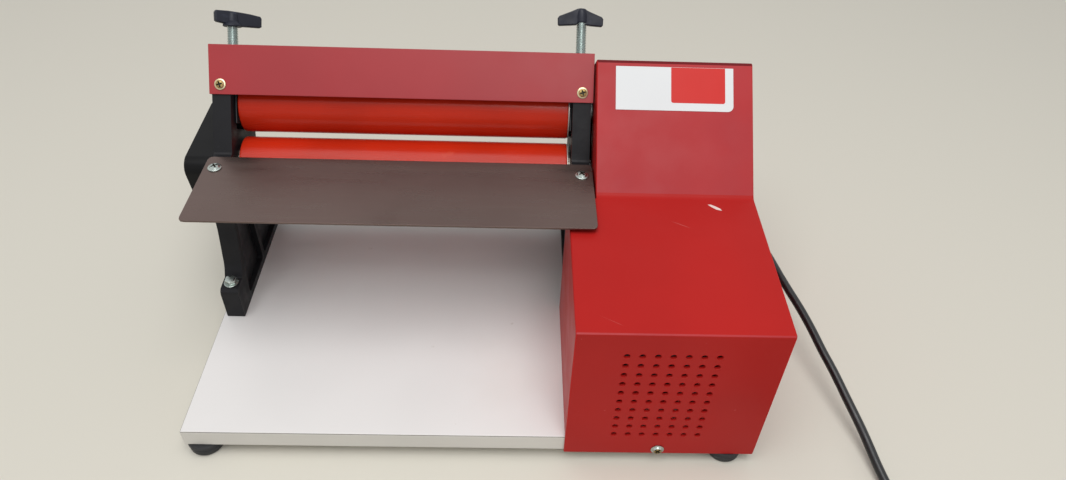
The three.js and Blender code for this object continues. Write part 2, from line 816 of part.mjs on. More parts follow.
function counterBracket() {
  const farX = bracketX + bracketSpan;
  const front = counterAxis.x - bracketFootDepth / 2;
  const back = counterAxis.x + bracketFootDepth / 2;
  const top = counterAxis.y + bracketTopRadius;
  const cheek = roundedShape([
    [at(front, seatGap), 0], [at(back, seatGap), 0],
    [at(counterAxis.x + bracketTopRadius, top), bracketTopRadius],
    [at(counterAxis.x - bracketTopRadius, top), bracketTopRadius]]);
  const cheeks = [bracketX, farX].map((x) => slabX(cheek, x, x + bracketPlate));
  return cut(
    joined(box(bracketX, farX + bracketPlate, front, back, seatGap, bracketPlate), ...cheeks),
    barX(counterRadius + shaftGap, bracketX - overrun, farX + bracketPlate + overrun, counterAxis));
}

// Pulley: the groove's floor lies just under the belt and its lips stand proud of it
function pulley(beltRadius, boreRadius, hubRadius, centre) {
  const floor = beltRadius - beltThick / 2 - turnedGap;
  const lip = beltRadius + beltThick / 2 + pulleyLip;
  const middle = pulleyX + pulleyWidth / 2;
  const right = pulleyX + pulleyWidth;
  const rim = floor - pulleyRim;
  const dished = rim > hubRadius;
  const side = (x, sign) => [[x, hubRadius], [middle + sign * pulleyWeb / 2, hubRadius],
    [middle + sign * pulleyWeb / 2, rim], [x, rim]];
  return turnedX([
    [pulleyX, boreRadius], ...(dished ? side(pulleyX, -1) : []), [pulleyX, lip],
    [middle - grooveMouth / 2, lip], [middle - grooveFloor / 2, floor], [middle + grooveFloor / 2, floor],
    [middle + grooveMouth / 2, lip], [right, lip], ...(dished ? side(right, 1).reverse() : []),
    [right, boreRadius], [pulleyX, boreRadius]], centre);
}

// Outline of a belt stretched round the motor and countershaft pulleys
function loopX(smallRadius, bigRadius, lowX, highX) {
  const line = counterAxis.clone().sub(motorAxis);
  const heading = line.angle();
  const spread = Math.acos((smallRadius - bigRadius) / line.length());
  const shape = new THREE.Shape();
  const leave = heading + spread;
  const meet = heading - spread;
  shape.absarc(motorAxis.x, motorAxis.y, smallRadius, leave, meet + 2 * Math.PI, false);
  shape.absarc(counterAxis.x, counterAxis.y, bigRadius, meet, leave, false);
  shape.closePath();
  return slabX(shape, lowX, highX, loopSteps);
}

function driveBelt() {
  const half = beltThick / 2;
  const low = pulleyX + (pulleyWidth - beltWidth) / 2;
  const high = low + beltWidth;
  return cut(
    loopX(smallPulleyRadius + half, bigPulleyRadius + half, low, high),
    loopX(smallPulleyRadius - half, bigPulleyRadius - half, low - overrun, high + overrun));
}

// Motor
function motorBody() {
  const finShares = [[0, 0], [1 / 2, 0], [1 / 2, 1], [1, 1]];
  const fin = (index) => finShares.map(([turnShare, depthShare]) => at(motorRadius - depthShare * finDepth, 0)
    .rotateAround(at(0, 0), (index + turnShare) * 2 * Math.PI / motorFins).add(motorAxis));
  const outline = Array.from({ length: motorFins }, (_, index) => fin(index)).flat();
  const high = motorX + motorLength;
  return cut(
    slabX(new THREE.Shape(outline), motorX, high),
    barX(motorShaftRadius + shaftGap, motorX - overrun, high + overrun, motorAxis));
}

function motorBell(faceX, sign) {
  const start = faceX + sign * seatGap;
  const end = start + sign * bellLength;
  const bore = motorShaftRadius + shaftGap;
  return turnedX([
    [start, bore], [start, bellRadius], [start + sign * bellLength / 2, bellRadius], [end, bellNose],
    [end, bore], [start, bore]], motorAxis);
}

function motorShaft() {
  return barX(motorShaftRadius, motorX - bellLength, pulleyX + pulleyWidth + rollerChamfer, motorAxis);
}

function motorSaddle() {
  const lowX = motorX + (motorLength - saddleLength) / 2;
  const highX = lowX + saddleLength;
  const half = saddleWidth / 2;
  const walls = [motorY - half, motorY + half - saddleWall].map((y) => box(
    lowX, highX, y, y + saddleWall, saddleBase / 2, motorZ));
  return cut(
    joined(box(lowX, highX, motorY - half, motorY + half, seatGap, saddleBase), ...walls),
    barX(motorRadius + turnedGap, lowX - overrun, highX + overrun, motorAxis, 2 * roundSteps));
}

function capacitor() {
  return barX(
    capacitorRadius, capacitorX, capacitorX + capacitorLength, at(capacitorY, capacitorRadius + turnedGap));
}

// Left end cover: a drawn box open towards the frame, its far edge stepped in twice as a round
function coverCorners() {
  return [
    [at(coverFront + coverRake, coverLow), coverCorner], [at(coverBack, coverLow), coverCorner],
    [at(coverBack, coverTop), coverCorner], [at(coverFront, coverTop), coverCorner]];
}

function coverSolid(inset, openX) {
  const layer = (edge, x) => slabX(roundedShape(insetCorners(coverCorners(), inset + edge)), x, openX);
  return joined(
    layer(0, coverLeft + inset + coverEdge),
    layer(coverEdge / 4, coverLeft + inset + coverEdge / 4),
    layer(coverEdge, coverLeft + inset));
}

function endCover() {
  return cut(coverSolid(0, frameLeftX - seatGap), coverSolid(coverWall, frameLeftX + overrun));
}

// Motor housing: a low front box and a taller rear part that steps in beside the frame
function housingSolid(inset, lowZ) {
  const corners = [
    [at(housingFront, lowZ), 0], [at(housingBack, lowZ), 0],
    [at(housingBack, housingShoulderZ), housingCorner], [at(housingPeakY, housingPeakZ), housingCorner],
    [at(housingBendY, housingBendZ), housingCorner], [at(housingFront, housingTopZ), housingCorner]];
  return cut(
    slabX(roundedShape(insetCorners(corners, inset)), housingLeft + inset, housingRight - inset),
    box(
      housingLeft - overrun, housingStepX + inset, housingStepY - inset, housingBack + overrun,
      lowZ - overrun, housingPeakZ));
}

function ventTools() {
  const places = Array.from({ length: ventRows * ventColumns }, (_, vent) => at(
    ventLeft + vent % ventColumns * ventPitchX, ventLow + Math.floor(vent / ventColumns) * ventPitchZ));
  return places.map((place) => barY(
    ventRadius, housingFront - overrun, housingFront + housingSheet + overrun, place, ventSides));
}

// Openings for the two roller shafts, the upper one long enough for its travel
function shaftTools() {
  const low = housingStepX - overrun;
  const high = housingStepX + housingSheet + overrun;
  const radius = journalRadius + housingShaftGap;
  const top = upperAlong + gapUp + radius;
  const slot = roundedShape([
    [headPoint(rollerAcross - radius, lowerAlong), 0], [headPoint(rollerAcross + radius, lowerAlong), 0],
    [headPoint(rollerAcross + radius, top), radius], [headPoint(rollerAcross - radius, top), radius]]);
  return [barX(radius, low, high, lowerAxis), slabX(slot, low, high)];
}

function motorHousing() {
  const lowZ = -housingSkirt;
  const inner = housingRight - housingSheet - overrun;
  const outer = housingRight + overrun;
  const boardSpace = box(
    housingLeft - overrun, boardWidth + seatGap, -seatGap, housingBack + overrun, lowZ - overrun, seatGap);
  const footNotch = box(
    housingLeft + housingSheet, housingStepX, housingStepY - housingSheet - overrun, housingStepY + overrun,
    -overrun, footNotchZ);
  const switchHole = box(
    inner, outer, switchY - switchHigh / 2 + switchFlange, switchY + switchHigh / 2 - switchFlange,
    switchZ - switchLong / 2 + switchFlange, switchZ + switchLong / 2 - switchFlange);
  const glandHole = barX(glandBaseRadius, inner, outer, at(glandY, glandZ), smallSteps);
  const screwHole = barY(
    housingScrewRadius, housingFront - overrun, housingFront + housingSheet + seatGap,
    at(housingScrewX, housingScrewZ));
  return cut(
    housingSolid(0, lowZ), housingSolid(housingSheet, lowZ - housingSheet - overrun), boardSpace, footNotch,
    switchHole, glandHole, screwHole, ...shaftTools(), ...ventTools());
}

// Switch: a bezel with its body behind the wall, and the rocker that tips in it
function switchBezel() {
  const face = housingRight + seatGap + switchProud;
  const reach = switchFlange + seatGap;
  const flange = box(
    housingRight + seatGap, face, switchY - switchHigh / 2, switchY + switchHigh / 2,
    switchZ - switchLong / 2, switchZ + switchLong / 2);
  const body = box(
    housingRight - switchBody, face - switchProud / 2, switchY - switchHigh / 2 + reach,
    switchY + switchHigh / 2 - reach, switchZ - switchLong / 2 + reach, switchZ + switchLong / 2 - reach);
  const wellHalfHigh = rockerHigh / 2 + rockerGap;
  const wellHalfLong = rockerLong / 2 + rockerGap;
  const well = box(
    face - rockerWell, face + overrun, switchY - wellHalfHigh, switchY + wellHalfHigh,
    switchZ - wellHalfLong, switchZ + wellHalfLong);
  return cut(joined(flange, body), well);
}

function switchRocker() {
  const pivotX = housingRight + seatGap + switchProud - rockerPivotIn;
  const half = rockerLong / 2 - rockerGap;
  const face = rockerPivotIn + rockerProud;
  const back = face - rockerDepth;
  const shape = roundedShape([
    [at(back, -half / 2), edgeRound], [at(face, -half), edgeRound], [at(face - rockerDish, 0), edgeRound],
    [at(face, half), edgeRound], [at(back, half / 2), edgeRound]]);
  const rocker = new THREE.ExtrudeGeometry(shape, {
    depth: rockerHigh, bevelEnabled: false, curveSegments: bendSteps });
  rocker.translate(0, 0, -rockerHigh / 2);
  rocker.rotateX(Math.PI / 2);
  rocker.rotateY(rockerTilt);
  rocker.translate(pivotX, switchY, switchZ);
  return rocker;
}

// Pan-head screw along +Z from the origin: its shank runs down from the seat, its crown has a drive recess
function panScrew(shankRadius, shankLength) {
  const body = turnedZ([
    [-shankLength, 0], [-shankLength, shankRadius], [seatGap, shankRadius], [seatGap, panHeadRadius],
    [panHeadHeight - panCrown, panHeadRadius], [panHeadHeight, panHeadRadius - panCrown], [panHeadHeight, 0]],
  smallSteps);
  const recess = barZ(driveRadius, panHeadHeight - driveDepth, panHeadHeight + overrun, at(0, 0), hexSides);
  return cut(body, recess);
}

function legBolt(outerX) {
  const top = frameLugHeight + seatGap + washerThick;
  const place = at(middleOf(outerX), lugBoltY);
  return joined(
    barZ(lugBoltRadius, seatGap, top + lugHeadHeight / 2, place),
    barZ(washerRadius, frameLugHeight + seatGap, top, place, 2 * smallSteps),
    barZ(lugHeadRadius, top - washerThick / 2, top + lugHeadHeight, place, hexSides));
}

function trayScrew(outerX) {
  const screw = panScrew(trayScrewRadius - turnedGap, trayThick + trayScrewDepth - 2 * turnedGap);
  screw.translate(middleOf(outerX), trayScrewY, trayTop);
  return screw;
}

function guardScrew(outerX) {
  const screw = panScrew(guardScrewRadius - turnedGap, guardThick + guardScrewDepth - turnedGap);
  screw.rotateX(Math.PI / 2);
  screw.translate(middleOf(outerX), -turnedGap - guardThick - seatGap, guardScrewAlong);
  return inHead(screw);
}

function housingScrew() {
  const screw = panScrew(housingScrewRadius - seatGap, housingSheet);
  screw.rotateX(Math.PI / 2);
  screw.translate(housingScrewX, housingFront, housingScrewZ);
  return screw;
}

// Gland in the right wall, its taper cut by ring grooves
function cordGland() {
  const start = housingRight + seatGap;
  const pitch = (glandLength - glandFlangeThick) / glandRibs;
  const profile = [[start, 0], [start, glandFlange], [start + glandFlangeThick, glandFlange]];
  for (let rib = 0; rib < glandRibs; rib += 1) {
    const radius = THREE.MathUtils.lerp(glandBaseRadius, glandTipRadius, rib / (glandRibs - 1));
    const x = start + glandFlangeThick + rib * pitch;
    profile.push([x, radius - glandGroove], [x + pitch / 3, radius - glandGroove]);
    profile.push([x + pitch / 3, radius], [x + pitch, radius]);
  }
  profile.push([start + glandLength, 0]);
  return turnedX(profile, at(glandY, glandZ), roundSteps / 2);
}

// Free run of the cord, from the gland forward and down to the coil
const coilZ = floorZ + tieThick + cordGap + cordRadius;
const runStartX = housingRight + seatGap + glandLength + cordGap;
const runEndY = coilY + 2 * cordRadius + cordGap;
const runBends = [
  [13.2, glandY, glandZ], [23, 238.7, 24.4], [32.1, 234.9, 24.2], [39.9, 228.9, 23.8], [45.8, 221, 23.3],
  [49.5, 211.9, 22.7], [56.9, 180.8, 20.5], [62.4, 161, 18], [69.5, 137.4, 14.8], [75.2, 115.1, 11.2],
  [80, 94, 7.2], [86.1, 72.7, 2.4], [92.6, 48, -4.2], [100.5, 20, -12.6], [107.8, -18.2, -21.2],
  [113.5, -46, coilZ], [coilReach, -76, coilZ], [coilReach, runEndY + 3 * cordRadius, coilZ],
  [coilReach, runEndY, coilZ]];      // distance from the housing's right wall, then y and z
const runPoints = [
  [runStartX, glandY, glandZ], ...runBends.map(([reach, y, z]) => [housingRight + reach, y, z])];

function cordTube(points, stepLength) {
  const curve = new THREE.CatmullRomCurve3(
    points.map((point) => new THREE.Vector3(...point)), false, 'centripetal');
  const section = Array.from({ length: cordSides }, (_, side) => at(cordRadius, 0)
    .rotateAround(at(0, 0), (side + 1 / 2) * 2 * Math.PI / cordSides));
  return new THREE.ExtrudeGeometry(new THREE.Shape(section), {
    steps: Math.round(curve.getLength() / stepLength), bevelEnabled: false, extrudePath: curve });
}

// Coil: in over the lower layer, up a layer in the half turn where it reverses, and out over the upper one
const coilInner = coilMeanRadius - coilPitch * coilTurns / 4;
const coilOuter = coilMeanRadius + coilPitch * coilTurns / 4;
const coilX = coilEntryX - coilOuter;
const coilRadius = (turn) => coilInner + coilPitch * Math.abs(turn - coilTurns / 2);

function coilPoint(turn) {
  const rise = THREE.MathUtils.smoothstep(turn - coilTurns / 2, -1 / 4, 1 / 4);
  const angle = -2 * Math.PI * turn;
  return new THREE.Vector3(
    coilX + coilRadius(turn) * Math.cos(angle), coilY + coilRadius(turn) * Math.sin(angle),
    coilZ + coilPitch * rise);
}

// An unbroken tube of few sides through a list of points, closed at both ends
function loopTube(path, sides) {
  const positions = [];
  const up = new THREE.Vector3(0, 0, 1);
  path.forEach((point, index) => {
    const before = path[Math.max(0, index - 1)];
    const after = path[Math.min(path.length - 1, index + 1)];
    const heading = after.clone().sub(before).normalize();
    const side = new THREE.Vector3().crossVectors(heading, up).normalize();
    const over = new THREE.Vector3().crossVectors(side, heading);
    for (let corner = 0; corner < sides; corner += 1) {
      const spot = at(cordRadius, 0).rotateAround(at(0, 0), (corner + 1 / 2) * 2 * Math.PI / sides);
      const place = point.clone().addScaledVector(side, spot.x).addScaledVector(over, spot.y);
      positions.push(place.x, place.y, place.z);
    }
  });
  const faces = [];
  for (let ring = 0; ring < path.length - 1; ring += 1) {
    for (let corner = 0; corner < sides; corner += 1) {
      const here = ring * sides + corner;
      const beside = ring * sides + (corner + 1) % sides;
      faces.push(here, here + sides, beside, beside, here + sides, beside + sides);
    }
  }
  const last = (path.length - 1) * sides;
  for (let corner = 1; corner < sides - 1; corner += 1) {
    faces.push(0, corner, corner + 1);
    faces.push(last, last + corner + 1, last + corner);
  }
  const geometry = new THREE.BufferGeometry();
  geometry.setAttribute('position', new THREE.Float32BufferAttribute(positions, 3));
  geometry.setIndex(faces);
  return geometry;
}

function cordCoil() {
  const steps = Math.round(coilTurns * coilSteps);
  const turns = Array.from({ length: steps + 1 }, (_, step) => coilPoint(coilTurns * step / steps));
  const straight = new THREE.Vector3(0, 2 * cordRadius, 0);
  return loopTube([turns[0].clone().add(straight), ...turns, turns[steps].clone().sub(straight)], coilSides);
}

// Least gap between stretches of the coil half a turn or more apart
function coilLeastGap() {
  const count = Math.round(coilTurns * coilSamples);
  const points = Array.from({ length: count + 1 }, (_, step) => coilPoint(coilTurns * step / count));
  const gaps = points.flatMap((point, index) => points.slice(index + coilSamples / 2)
    .map((other) => point.distanceTo(other) - 2 * cordRadius));
  return gaps.reduce((least, gap) => Math.min(least, gap), Infinity);
}

// Strap round the coil on the side away from its ends
function cordTie() {
  const near = coilX - coilRadius(3 / 2) + cordRadius + tieSlack;
  const far = coilX - coilRadius(1 / 2) - cordRadius - tieSlack;
  const inLow = floorZ + tieThick;
  const inHigh = coilZ + coilPitch + cordRadius + cordGap;
  const front = coilY - tieLength / 2;
  const back = coilY + tieLength / 2;
  return cut(
    box(far - tieThick, near + tieThick, front, back, floorZ, inHigh + tieThick),
    box(far, near, front - overrun, back + overrun, inLow, inHigh));
}

// Free end of the cord from the coil's upper end out to the plug
const tailStartY = coilY - 2 * cordRadius - cordGap;
const tailEndY = tailStartY - tailLength;
const plugX = coilEntryX + tailOffset;

function cordTail() {
  const z = coilZ + coilPitch;
  return cordTube([
    [coilEntryX, tailStartY, z], [coilEntryX, tailStartY - cordRadius, z],
    [(coilEntryX + plugX) / 2, (tailStartY + tailEndY) / 2, z],
    [plugX, tailEndY + cordRadius, z], [plugX, tailEndY, z]], cordRadius * 2);
}

// Plug on the floor, its pins pointing forward
function mainsPlug() {
  const axisZ = coilZ + coilPitch;
  const half = axisZ - floorZ;
  const start = tailEndY - cordGap;
  const relief = new THREE.CylinderGeometry(glandTipRadius, plugReliefRadius, plugRelief, roundSteps / 2);
  relief.translate(plugX, start - plugRelief / 2, axisZ);
  const bodyBack = start - plugRelief + overrun;
  const body = box(
    plugX - plugWidth / 2, plugX + plugWidth / 2, bodyBack - plugLength, bodyBack,
    floorZ, axisZ + half);
  const pins = [-plugPinSpacing / 2, plugPinSpacing / 2].map((x) => barY(
    plugPinRadius, bodyBack - plugLength - plugPinLength, bodyBack - plugLength + overrun,
    at(plugX + x, axisZ)));
  return joined(body, relief, ...pins);
}

// The named solids of the machine and of its cord
function mesh(name, geometry, material) {
  const node = new THREE.Mesh(geometryOf(solidOf(geometry)), material);
  node.name = name;
  return node;
}

function standPieces() {
  const [leftX, rightX] = frameOuterFaces;
  return [
    mesh('base_board', baseBoard(), whiteLaminate()),
    mesh('foot_front_left', rubberFoot(footInset, footInset), blackRubber()),
    mesh('foot_front_right', rubberFoot(boardWidth - footInset, footInset), blackRubber()),
    mesh('foot_back_left', rubberFoot(footInset, boardDepth - footInset), blackRubber()),
    mesh('foot_back_right', rubberFoot(boardWidth - footInset, boardDepth - footInset), blackRubber()),
    mesh('side_frame_left', sideFrame(leftX), blackCasting()),
    mesh('side_frame_right', sideFrame(rightX), blackCasting()),
    mesh('tie_bar', tieBar(), steel()),
    mesh('leg_bolt_left', legBolt(leftX), zinc()),
    mesh('leg_bolt_right', legBolt(rightX), zinc()),
    mesh('feed_tray', feedTray(), trayTin()),
    mesh('tray_screw_left', trayScrew(leftX), zinc()),
    mesh('tray_screw_right', trayScrew(rightX), zinc()),
    mesh('roller_guard', guardSheet(), redPaint()),
    mesh('guard_screw_left', guardScrew(leftX), zinc()),
    mesh('guard_screw_right', guardScrew(rightX), zinc()),
    mesh('left_end_cover', endCover(), blackCasting()),
    mesh('head_cap_left', headCap(leftX), blackCasting()),
    mesh('head_cap_right', headCap(rightX), blackCasting())];
}

function rollerPieces() {
  const [leftX, rightX] = frameOuterFaces;
  const leftKnob = wingKnob(leftX, knobAlongLeft, knobHeightLeft, knobDropLeft, knobTurnLeft);
  const rightKnob = wingKnob(rightX, knobAlongRight, knobHeightRight, knobDropRight, knobTurnRight);
  return [
    mesh('lower_bush_left', lowerBush(leftX, 1), bronze()),
    mesh('lower_bush_right', lowerBush(rightX, -1), bronze()),
    mesh('lower_roller', rollerSleeve(lowerAxis), rollerRed()),
    mesh('lower_shaft', rollerShaft(lowerAxis, lowerShaftLeft, lowerShaftRight), steel()),
    mesh('shaft_collar', shaftCollar(), steel()),
    mesh('roller_gear_lower', lowerRollGear(), steel()),
    mesh('bull_gear', bullGear(), steel()),
    mesh('upper_roller', rollerSleeve(upperAxis), rollerRed()),
    mesh('upper_shaft', rollerShaft(upperAxis, upperShaftLeft, upperShaftRight), steel()),
    mesh('roller_gear_upper', upperRollGear(), steel()),
    mesh('bearing_block_left', bearingBlock(leftX, 1), steel()),
    mesh('bearing_block_right', bearingBlock(rightX, -1), steel()),
    mesh('adjusting_screw_left', adjustingScrew(leftX, knobAlongLeft), zinc()),
    mesh('adjusting_screw_right', adjustingScrew(rightX, knobAlongRight), zinc()),
    mesh('wing_knob_left', leftKnob, knobPlastic()),
    mesh('wing_knob_right', rightKnob, knobPlastic())];
}

function drivePieces() {
  const smallPulley = pulley(smallPulleyRadius, motorShaftRadius + seatGap, pulleyHub, motorAxis);
  const bigPulley = pulley(bigPulleyRadius, counterRadius + seatGap, pulleyHub, counterAxis);
  return [
    mesh('motor_housing', motorHousing(), redPaint()),
    mesh('housing_screw', housingScrew(), zinc()),
    mesh('motor_body', motorBody(), motorGrey()),
    mesh('motor_bell_left', motorBell(motorX, -1), motorGrey()),
    mesh('motor_bell_right', motorBell(motorX + motorLength, 1), motorGrey()),
    mesh('motor_saddle', motorSaddle(), blackCasting()),
    mesh('motor_shaft', motorShaft(), steel()),
    mesh('motor_pulley', smallPulley, steel()),
    mesh('start_capacitor', capacitor(), blackRubber()),
    mesh('drive_belt', driveBelt(), blackRubber()),
    mesh('countershaft_bracket', counterBracket(), blackCasting()),
    mesh('countershaft', counterShaft(), steel()),
    mesh('countershaft_pinion', pinion(), steel()),
    mesh('countershaft_pulley', bigPulley, steel()),
    mesh('switch_bezel', switchBezel(), blackRubber()),
    mesh('switch_rocker', switchRocker(), blackRubber())];
}

function cordPieces() {
  return [
    mesh('cord_gland', cordGland(), blackRubber()),
    mesh('cord_run', cordTube(runPoints, cordStepLength), blackRubber()),
    mesh('cord_coil', cordCoil(), blackRubber()),
    mesh('cord_tie', cordTie(), blackRubber()),
    mesh('cord_tail', cordTail(), blackRubber()),
    mesh('cord_plug', mainsPlug(), blackRubber())];
}

// The origin is the bottom centre of the machine without its cord
const machine = new THREE.Group();
machine.add(...standPieces(), ...rollerPieces(), ...drivePieces());
const bounds = new THREE.Box3().setFromObject(machine);
const middle = bounds.getCenter(new THREE.Vector3());

const part = new THREE.Group();
part.name = 'dough_roller_machine';
part.add(machine, ...cordPieces());
part.position.set(-middle.x, -middle.y, -bounds.min.z);
part.updateMatrixWorld(true);

console.log(`roll gap ${restGap} mm, coil's least gap to itself ${coilLeastGap().toFixed(2)} mm`);

export default part;
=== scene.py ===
import math

import bmesh
import bpy
from mathutils import Color, Matrix, Vector


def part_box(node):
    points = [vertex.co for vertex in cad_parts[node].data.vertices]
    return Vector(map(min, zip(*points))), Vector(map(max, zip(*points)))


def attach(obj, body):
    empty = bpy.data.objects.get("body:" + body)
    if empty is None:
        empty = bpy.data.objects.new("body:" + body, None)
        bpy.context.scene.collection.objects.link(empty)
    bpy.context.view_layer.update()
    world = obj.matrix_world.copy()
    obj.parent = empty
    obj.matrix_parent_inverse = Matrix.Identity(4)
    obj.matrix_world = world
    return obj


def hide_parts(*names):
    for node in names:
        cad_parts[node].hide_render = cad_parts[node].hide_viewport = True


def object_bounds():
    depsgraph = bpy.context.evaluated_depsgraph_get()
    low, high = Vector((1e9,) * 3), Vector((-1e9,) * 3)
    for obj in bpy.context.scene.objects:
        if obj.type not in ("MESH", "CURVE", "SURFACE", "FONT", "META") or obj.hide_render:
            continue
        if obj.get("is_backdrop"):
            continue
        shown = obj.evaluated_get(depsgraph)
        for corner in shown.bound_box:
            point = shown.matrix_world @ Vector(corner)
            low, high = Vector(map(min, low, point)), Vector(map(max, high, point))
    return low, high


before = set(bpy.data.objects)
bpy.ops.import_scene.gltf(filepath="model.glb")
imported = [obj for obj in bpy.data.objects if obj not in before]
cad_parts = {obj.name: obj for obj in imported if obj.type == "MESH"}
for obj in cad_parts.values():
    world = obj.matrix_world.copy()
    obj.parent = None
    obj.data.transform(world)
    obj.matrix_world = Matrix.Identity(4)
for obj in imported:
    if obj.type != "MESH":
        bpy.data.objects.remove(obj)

# Sizes are millimetres from the board's top front left corner, and onBoard takes them to the frame's metres
mm = 0.001
fullTurn = 2 * math.pi
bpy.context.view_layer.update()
boardLow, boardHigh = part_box("base_board")
onBoard = Matrix.Translation((boardLow.x, boardLow.y, boardHigh.z)) @ Matrix.Scale(mm, 4)

# The head of the side frames leans back; its own frame has y across it and z up its slope
head = {"footY": 199.9, "footZ": 142.6, "tilt": 34.8}
onHead = (onBoard @ Matrix.Translation((0, head["footY"], head["footZ"]))
          @ Matrix.Rotation(math.radians(-head["tilt"]), 4, "X"))
upHead = onHead.to_3x3() @ Vector((0, 0, 1))
upHead.normalize()
alongX = Matrix.Rotation(fullTurn / 4, 4, "Y")
towardsFront = Matrix.Rotation(fullTurn / 4, 4, "X")

# Outer faces of the side frames' posts, and the width of a post
post = {"left": 4.4, "right": 326.7, "width": 16.3}
postMiddle = {side: post[side] + post["width"] / 2 for side in ("left", "right")}

# Camera of the photograph: place, angles in degrees, lens and sensor
photoView = {
    "x": 274.7, "y": -381.8, "z": 569.2, "pitch": 42.13, "yaw": 1.98, "roll": -2.44,
    "lens": 26.68, "sensor": 36}


def aimCamera(view):
    pitch, yaw, roll = (math.radians(view[key]) for key in ("pitch", "yaw", "roll"))
    ahead = Vector((math.sin(yaw) * math.cos(pitch), math.cos(yaw) * math.cos(pitch), -math.sin(pitch)))
    right = Vector((math.cos(yaw), -math.sin(yaw), 0))
    down = ahead.cross(right)
    across = right * math.cos(roll) + down * math.sin(roll)
    under = down * math.cos(roll) - right * math.sin(roll)
    data = bpy.data.cameras.new("photoCamera")
    data.lens = view["lens"]
    data.sensor_width = view["sensor"]
    eye = bpy.data.objects.new("photoCamera", data)
    bpy.context.scene.collection.objects.link(eye)
    spot = onBoard @ Vector((view["x"], view["y"], view["z"]))
    eye.matrix_world = Matrix.Translation(spot) @ Matrix((across, -under, -ahead)).transposed().to_4x4()
    bpy.context.scene.camera = eye


aimCamera(photoView)
print("camera placed")


# Finishes: colours as written on screen, scales per metre, heights in metres
def tone(code):
    parts = [int(code[start:start + 2], 16) / 255 for start in (0, 2, 4)]
    return [*Color(parts).from_srgb_to_scene_linear(), 1]


def addNode(tree, kind, inputs, **settings):
    made = tree.nodes.new(kind)
    for key, value in settings.items():
        setattr(made, key, value)
    for key, value in inputs.items():
        if isinstance(value, bpy.types.NodeSocket):
            tree.links.new(value, made.inputs[key])
        else:
            made.inputs[key].default_value = value
    return made


# Turned first and stretched after, which a single Mapping node would do the other way round
def speckle(tree, scale, stretch=(1, 1, 1), turn=0.0, detail=4):
    coords = addNode(tree, "ShaderNodeTexCoord", {}).outputs["Object"]
    laid = addNode(tree, "ShaderNodeMapping", {"Vector": coords, "Rotation": (0, 0, turn)}).outputs[0]
    sized = addNode(tree, "ShaderNodeMapping", {"Vector": laid, "Scale": stretch}).outputs[0]
    return addNode(tree, "ShaderNodeTexNoise", {"Vector": sized, "Scale": scale, "Detail": detail}).outputs[0]


def ranged(tree, value, low, high, toLow, toHigh):
    inputs = {"Value": value, "From Min": low, "From Max": high, "To Min": toLow, "To Max": toHigh}
    return addNode(tree, "ShaderNodeMapRange", inputs, interpolation_type="SMOOTHSTEP").outputs[0]


def mixed(tree, share, first, second):
    return addNode(tree, "ShaderNodeMix", {0: share, 6: first, 7: second}, data_type="RGBA").outputs[2]


noiseSpan = (0.3, 0.7)    # where most of the noise lies


def makeFinish(name, spec):
    made = bpy.data.materials.new(name)
    made.use_nodes = True
    tree = made.node_tree
    shader = tree.nodes["Principled BSDF"]
    for socket, value in spec.get("fixed", {}).items():
        shader.inputs[socket].default_value = value
    color = tone(spec["color"])
    cloudScale, cloudShare = spec["cloud"]
    deep = [channel * (1 - cloudShare) for channel in color[:3]] + [1]
    shown = mixed(tree, ranged(tree, speckle(tree, cloudScale), *noiseSpan, 0, 1), deep, color)
    for mark in spec.get("marks", []):
        pattern = speckle(tree, mark["scale"], mark.get("stretch", (1, 1, 1)), mark.get("turn", 0))
        mask = ranged(tree, pattern, mark["start"], mark["end"], 0, mark["share"])
        shown = mixed(tree, mask, shown, tone(mark["color"]))
    tree.links.new(shown, shader.inputs["Base Color"])
    roughScale, roughLow, roughHigh = spec["rough"]
    pattern = speckle(tree, roughScale, spec.get("roughStretch", (1, 1, 1)))
    tree.links.new(ranged(tree, pattern, *noiseSpan, roughLow, roughHigh), shader.inputs["Roughness"])
    for scale, stretch, height in spec.get("relief", []):
        inputs = {"Height": speckle(tree, scale, stretch), "Distance": height, "Strength": 1}
        bump = addNode(tree, "ShaderNodeBump", inputs)
        if shader.inputs["Normal"].is_linked:
            tree.links.new(shader.inputs["Normal"].links[0].from_socket, bump.inputs["Normal"])
        tree.links.new(bump.outputs[0], shader.inputs["Normal"])
    return made


